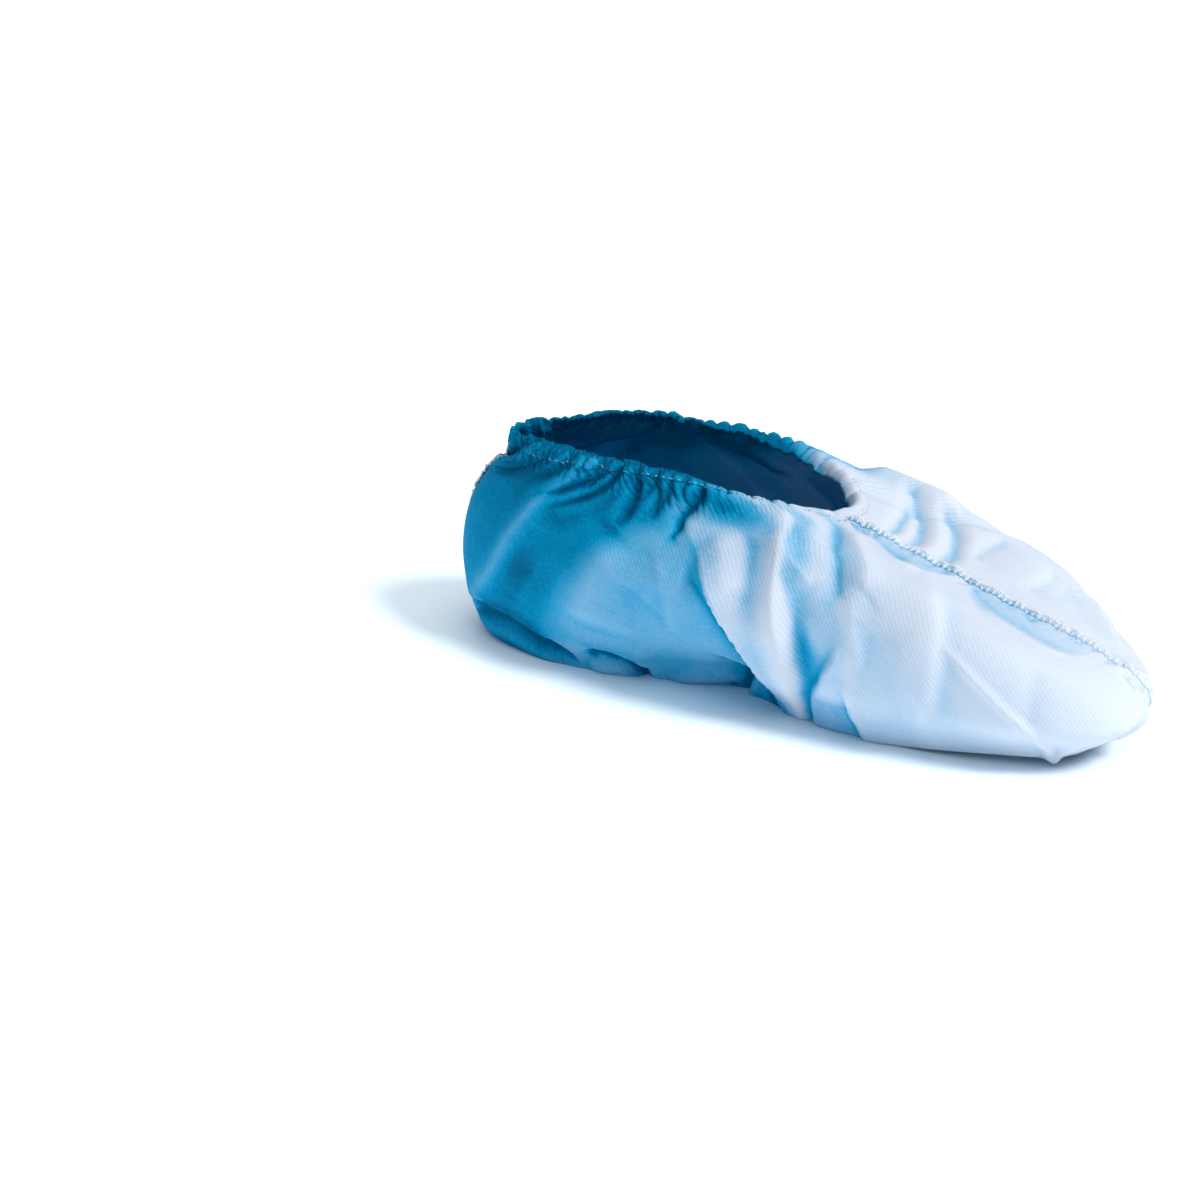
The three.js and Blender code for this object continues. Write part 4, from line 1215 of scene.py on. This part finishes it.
class Finish:
    """A material and the one way of adding nodes to it."""

    def __init__(self, name):
        self.material = bpy.data.materials.new(name)
        self.material.use_nodes = True
        self.tree = self.material.node_tree
        self.tree.nodes.clear()
        self.end = self.tree.nodes.new("ShaderNodeOutputMaterial")

    def node(self, kind, settings=None, sockets=None, out=0):
        """Adds a node: its type, its settings, then the values or links of its sockets."""
        made = self.tree.nodes.new("ShaderNode" + kind)
        for key, value in (settings or {}).items():
            if key == "stops":
                self.set_stops(made.color_ramp, value)
            else:
                setattr(made, key, value)
        for key, value in (sockets or {}).items():
            if isinstance(value, Wire):
                self.tree.links.new(value.socket, made.inputs[key])
            else:
                made.inputs[key].default_value = value
        return Wire(self, made.outputs[out])

    @staticmethod
    def set_stops(ramp, stops):
        """Gives a colour ramp its stops, each a place and a colour."""
        while len(ramp.elements) < len(stops):
            ramp.elements.new(0.5)
        for element, (place, color) in zip(ramp.elements, stops):
            element.position = place
            element.color = (*color, 1)

    def mix(self, share, first, second):
        """A colour between two, by a share from 0 to 1.

        Sockets 6 and 7 and output 2 are the node's own ones for colours.
        """
        sockets = {"Factor": share, 6: rgba(first), 7: rgba(second)}
        return self.node("Mix", {"data_type": "RGBA"}, sockets, out=2)

    def close(self, shader):
        """Ends the material with its shader."""
        self.tree.links.new(shader.socket, self.end.inputs["Surface"])
        return self.material


def rgba(color):
    """A colour as a socket takes it; a link is passed on as it is."""
    return color if isinstance(color, Wire) else (*color, 1)


# The blues of the cloth from its palest to its deepest; the deep end stands for painted shade,
# not the cloth's own colour.
BLUES = [
    (0.00, (0.79, 0.82, 0.91)),
    (0.15, (0.67, 0.76, 0.89)),
    (0.30, (0.48, 0.67, 0.86)),
    (0.50, (0.22, 0.52, 0.77)),
    (0.65, (0.08, 0.43, 0.70)),
    (0.85, (0.000, 0.32, 0.58)),
    (1.00, (0.000, 0.15, 0.30)),
]
# The ribs slant up the side, and the bond points follow one another along them, both in
# metres from one to the next. The ribs show plainest where the cloth is palest.
RIB_PITCH = 0.0017
RIB_SLOPE = math.radians(57)
BOND_PITCH = 0.0034
RIBS_PLAIN = 1.15
# How much the clouds, the fibres, the ribs and the bond points show in blue and in relief.
IN_BLUE = dict(cloud=0.12, fibre=0.30, rib=0.055)
IN_RELIEF = dict(rib=0.5, bond=0.12, fibre=0.9)
LIGHT_THROUGH = dict(share=0.10, color=(0.10, 0.45, 0.70))


def nonwoven(name, seed):
    """Thin spunbond cloth: fine slanting ribs of bond points over clouded fibres, its blue
    deepened by the painted shade in the depth attribute.
    """
    f = Finish(name)
    place = f.node("UVMap", {"uv_map": "cut"})
    x = f.node("SeparateXYZ", None, {"Vector": place}, out="X")
    y = f.node("SeparateXYZ", None, {"Vector": place}, out="Y")
    rise, run = math.cos(RIB_SLOPE), math.sin(RIB_SLOPE)
    ribs = (x * run - y * rise) * (2 * math.pi / RIB_PITCH)
    bonds = (x * rise + y * run) * (2 * math.pi / BOND_PITCH)
    rib = f.node("Math", {"operation": "SINE"}, {0: ribs})
    bond = f.node("Math", {"operation": "SINE"}, {0: bonds})
    body = f.node("TexCoord", out="Object")
    cloud = f.node("TexNoise", {"noise_dimensions": "4D"},
                   {"Vector": body, "W": seed, "Scale": 70.0, "Detail": 5.0, "Roughness": 0.6})
    fibre = f.node("TexNoise", {"noise_dimensions": "4D"},
                   {"Vector": body, "W": seed + 3, "Scale": 650.0, "Detail": 4.0,
                    "Roughness": 0.7})
    # The depth attribute carries painted shade and painted highlights into the cloth's blue.
    depth = f.node("Attribute", {"attribute_name": "depth"}, out="Fac")
    plain = rib * (RIBS_PLAIN - depth)
    shade = depth + (cloud - 0.5) * IN_BLUE["cloud"] + (fibre - 0.5) * IN_BLUE["fibre"]
    color = f.node("ValToRGB", {"stops": BLUES}, {0: shade - plain * IN_BLUE["rib"]})
    height = (plain * IN_RELIEF["rib"] + bond * IN_RELIEF["bond"]
              + fibre * IN_RELIEF["fibre"])
    bump = f.node("Bump", None, {"Strength": 0.35, "Distance": 0.00012, "Height": height})
    skin = f.node("BsdfPrincipled", None, {
        "Base Color": color,
        "Roughness": cloud * 0.2 + 0.6,
        "Normal": bump,
        "Specular IOR Level": 0.03,
    })
    glow = f.node("BsdfTranslucent", None,
                  {"Color": rgba(LIGHT_THROUGH["color"]), "Normal": bump})
    return f.close(f.node("MixShader", None, {0: LIGHT_THROUGH["share"], 1: skin, 2: glow}))


def thread(name, color, pitch):
    """Spun thread: fine twisted plies and a little fuzz."""
    f = Finish(name)
    body = f.node("TexCoord", out="Object")
    ply = f.node("TexWave", {"wave_type": "BANDS", "bands_direction": "DIAGONAL"},
                 {"Vector": body, "Scale": 0.3 / pitch, "Distortion": 2.0, "Detail": 2.0})
    fuzz = f.node("TexNoise", None, {"Vector": body, "Scale": 1800.0, "Detail": 3.0})
    height = ply * 0.6 + fuzz * 0.6
    bump = f.node("Bump", None, {"Strength": 0.5, "Distance": 0.00015, "Height": height})
    shade = f.mix(ply * 0.25 + fuzz * 0.3, [0.8 * c for c in color], color)
    return f.close(f.node("BsdfPrincipled", None, {
        "Base Color": shade, "Roughness": fuzz * 0.2 + 0.55, "Normal": bump,
        "Sheen Weight": 0.2}))


def grip_coating(name, color):
    """Rubbery coating of the sole: pebbled, a little glossy, dulled in patches."""
    f = Finish(name)
    body = f.node("TexCoord", out="Object")
    pebble = f.node("TexVoronoi", {"feature": "SMOOTH_F1"}, {"Vector": body, "Scale": 700.0})
    patch = f.node("TexNoise", None, {"Vector": body, "Scale": 50.0, "Detail": 4.0})
    bump = f.node("Bump", None, {"Strength": 0.6, "Distance": 0.0002, "Height": pebble})
    shade = f.mix(patch * 0.6 + pebble * 0.3, [0.82 * c for c in color], color)
    return f.close(f.node("BsdfPrincipled", None, {
        "Base Color": shade, "Roughness": patch * 0.3 + 0.35, "Normal": bump}))


def paper_floor(name, color):
    """Matt studio paper with the faintest tooth."""
    f = Finish(name)
    body = f.node("TexCoord", out="Object")
    tooth = f.node("TexNoise", None, {"Vector": body, "Scale": 400.0, "Detail": 2.0})
    bump = f.node("Bump", None, {"Strength": 0.1, "Distance": 0.0001, "Height": tooth})
    return f.close(f.node("BsdfPrincipled", None, {
        "Base Color": rgba(color), "Roughness": 0.9, "Normal": bump,
        "Specular IOR Level": 0.1}))


THREAD_WHITE = (0.90, 0.92, 0.94)
THREAD_BLUE = (0.35, 0.62, 0.80)
GRIP_WHITE = (0.70, 0.76, 0.80)
FLOOR_WHITE = (0.86, 0.93, 0.97)
# The pitch of the twist in a thread, in metres, and which clouds the cloth has.
THREAD_PITCH = 0.0006
CLOUD_SEED = 1.0

cloth_finish = nonwoven("nonwoven blue", CLOUD_SEED)
white_thread = thread("overlock thread", THREAD_WHITE, THREAD_PITCH)
blue_thread = thread("hem thread", THREAD_BLUE, THREAD_PITCH)
grip_finish = grip_coating("grip coating", GRIP_WHITE)
floor_finish = paper_floor("studio floor", FLOOR_WHITE)


# ---- the cover ----
even = np.arange(AROUND) / AROUND
around_places = even - SEAM_CROWD * np.sin(2 * np.pi * even) / (2 * np.pi)
form_up = np.linspace(0, 1, FORM_ROWS + 1)
whole_form = smooth_form(even, form_up)
up_places = row_places(cloth_top(around_places))
smooth_grid = spread_rows(smooth_form(around_places, form_up), up_places)
smooth_out = normals_of(smooth_grid)
cloth_grid, painted_shading = folded_form(smooth_grid, smooth_out, whole_form, normals_of(whole_form),
                               around_places, up_places)
cloth_grid = settled(cloth_grid, smooth_grid, smooth_out,
                     *spare_cloth(around_places, up_places),
                     pull_to_place(around_places, up_places),
                     outset_from_form(around_places, up_places))
cloth_out = normals_of(cloth_grid)
# Painted shade and painted highlights, as a depth of blue for each point.
blue = blue_with_painted_shade(cloth_grid, cloth_out, around_places, up_places)
blue = np.clip(blue + painted_shading, 0, 1)
body, body_out = cloth_grid[:CLOTH_ROWS + 1], cloth_out[:CLOTH_ROWS + 1]
body_up = up_places[:CLOTH_ROWS + 1]
edge, edge_out = cloth_grid[CLOTH_ROWS:], cloth_out[CLOTH_ROWS:]

flat = flat_places(smooth_grid)
points, faces, uv, depths = cover_cloth(body, body_out, flat[:CLOTH_ROWS + 1],
                                        blue[:CLOTH_ROWS + 1])
cover = new_piece("cover_cloth", points, faces, cloth_finish, ["cover_shell"], uv,
                  depths)
points, faces, uv, depths = gathered_hem(edge, edge_out, flat[CLOTH_ROWS:],
                                         blue[CLOTH_ROWS:])
hem = new_piece("gathered_hem", points, faces, cloth_finish, ["elastic_rim"],
                uv, depths)
points, faces = hem_stitches(edge, edge_out)
sewn = [new_piece("hem_stitches", points, faces, blue_thread)]
SEAMS = [("front", 0, FRONT_ROUTE, 4), ("heel", AROUND // 2, HEEL_ROUTE, 6)]
for name, column, route, seed in SEAMS:
    raw = raised_edge(body, body_out, body_up, column, route, seed)
    points, faces, uv, tops = edge_strip(raw, seed + 1)
    # The edge strip's blue: painted shade at its root, paler towards its free edge.
    high_root, top, low_root = STRIP_PAINTED_SHADE[name]
    root = low_root + (high_root - low_root) * smooth(uv[:, 0] / STRIP_FADE)
    strip_painted_shade = root + (top - root) * np.clip(uv[:, 1] / STRIP["tall"], 0, 1)
    sewn.append(new_piece(name + "_raw_edge", points, faces, cloth_finish, (), uv,
                          strip_painted_shade))
    points, faces = thread_loops(raw, tops)
    sewn.append(new_piece(name + "_overlock", points, faces, white_thread,
                          [name + "_seam"]))
points, faces = needle_row(body, body_out, body_up, 0)
sewn.append(new_piece("front_needle_row", points, faces, white_thread))
for grip_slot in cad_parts["grip_sole"].material_slots:
    grip_slot.material = grip_finish


# ---- studio ----
# A sky of even light, a soft sun from the toe's side, a faint cool glow low behind the
# heel, and a lamp overhead that only whitens the floor.
STUDIO = dict(world=0.36, sky=(0.82, 0.92, 1.0, 1), floor=8)
LAMPS = table(
    "name place spread power color floor_only",
    [
        ("key", (0.72, -0.04, 0.82), 16, 2.7, (1.0, 1.0, 1.0), False),
        ("glow", (-0.8, -0.9, 0.15), 50, 0.3, (0.05, 0.6, 1.0), False),
        ("whitener", (0, 0, 1), 60, 1.6, (1.0, 1.0, 1.0), True),
    ],
)


def studio():
    """A floor of pale paper under a sky of even light; returns the floor."""
    bpy.ops.mesh.primitive_plane_add(size=STUDIO["floor"], location=(0, 0, FLOOR * MM))
    ground = bpy.context.object
    ground.name = "studio_floor"
    ground.data.materials.append(floor_finish)
    world = bpy.data.worlds.new("studio")
    bpy.context.scene.world = world
    world.use_nodes = True
    light = world.node_tree.nodes["Background"].inputs
    light["Color"].default_value = STUDIO["sky"]
    light["Strength"].default_value = STUDIO["world"]
    bpy.context.scene.view_settings.view_transform = "Standard"
    return ground


def soft_sun(row, ground):
    """A sun lamp from one row of LAMPS, kept to the floor where the row says so."""
    data = bpy.data.lights.new(row["name"], "SUN")
    data.angle = math.radians(row["spread"])
    data.energy = row["power"]
    data.color = row["color"]
    lamp = bpy.data.objects.new(row["name"], data)
    bpy.context.collection.objects.link(lamp)
    lamp.location = row["place"]
    lamp.rotation_mode = "QUATERNION"
    lamp.rotation_quaternion = (-Vector(row["place"])).to_track_quat("-Z", "Y")
    if row["floor_only"]:
        lit = bpy.data.collections.new("lit floor")
        lit.objects.link(ground)
        lamp.light_linking.receiver_collection = lit


# The camera stands two metres off from a point inside the cover. It aims to the left of that
# point and a little under it, so the cover lies right of the middle of the view.
CAMERA = dict(azimuth=24, elevation=25, away=2.0, height=0.045, lens=135, right=0.0889,
              above=0.008)


def camera():
    """The scene's one camera, at the angle from which the cover is known."""
    a, e = math.radians(CAMERA["azimuth"]), math.radians(CAMERA["elevation"])
    back = Vector((math.sin(a) * math.cos(e), -math.cos(a) * math.cos(e), math.sin(e)))
    right = Vector((math.cos(a), math.sin(a), 0))
    above = back.cross(right)
    seat = Vector((0, 0, CAMERA["height"]))
    place = seat + back * CAMERA["away"]
    aim = seat - right * CAMERA["right"] - above * CAMERA["above"]
    data = bpy.data.cameras.new("camera")
    data.lens = CAMERA["lens"]
    seen = bpy.data.objects.new("camera", data)
    bpy.context.collection.objects.link(seen)
    seen.location = place
    seen.rotation_mode = "QUATERNION"
    seen.rotation_quaternion = (aim - place).to_track_quat("-Z", "Y")
    bpy.context.scene.camera = seen


ground = studio()
for lamp_row in LAMPS:
    soft_sun(lamp_row, ground)
camera()
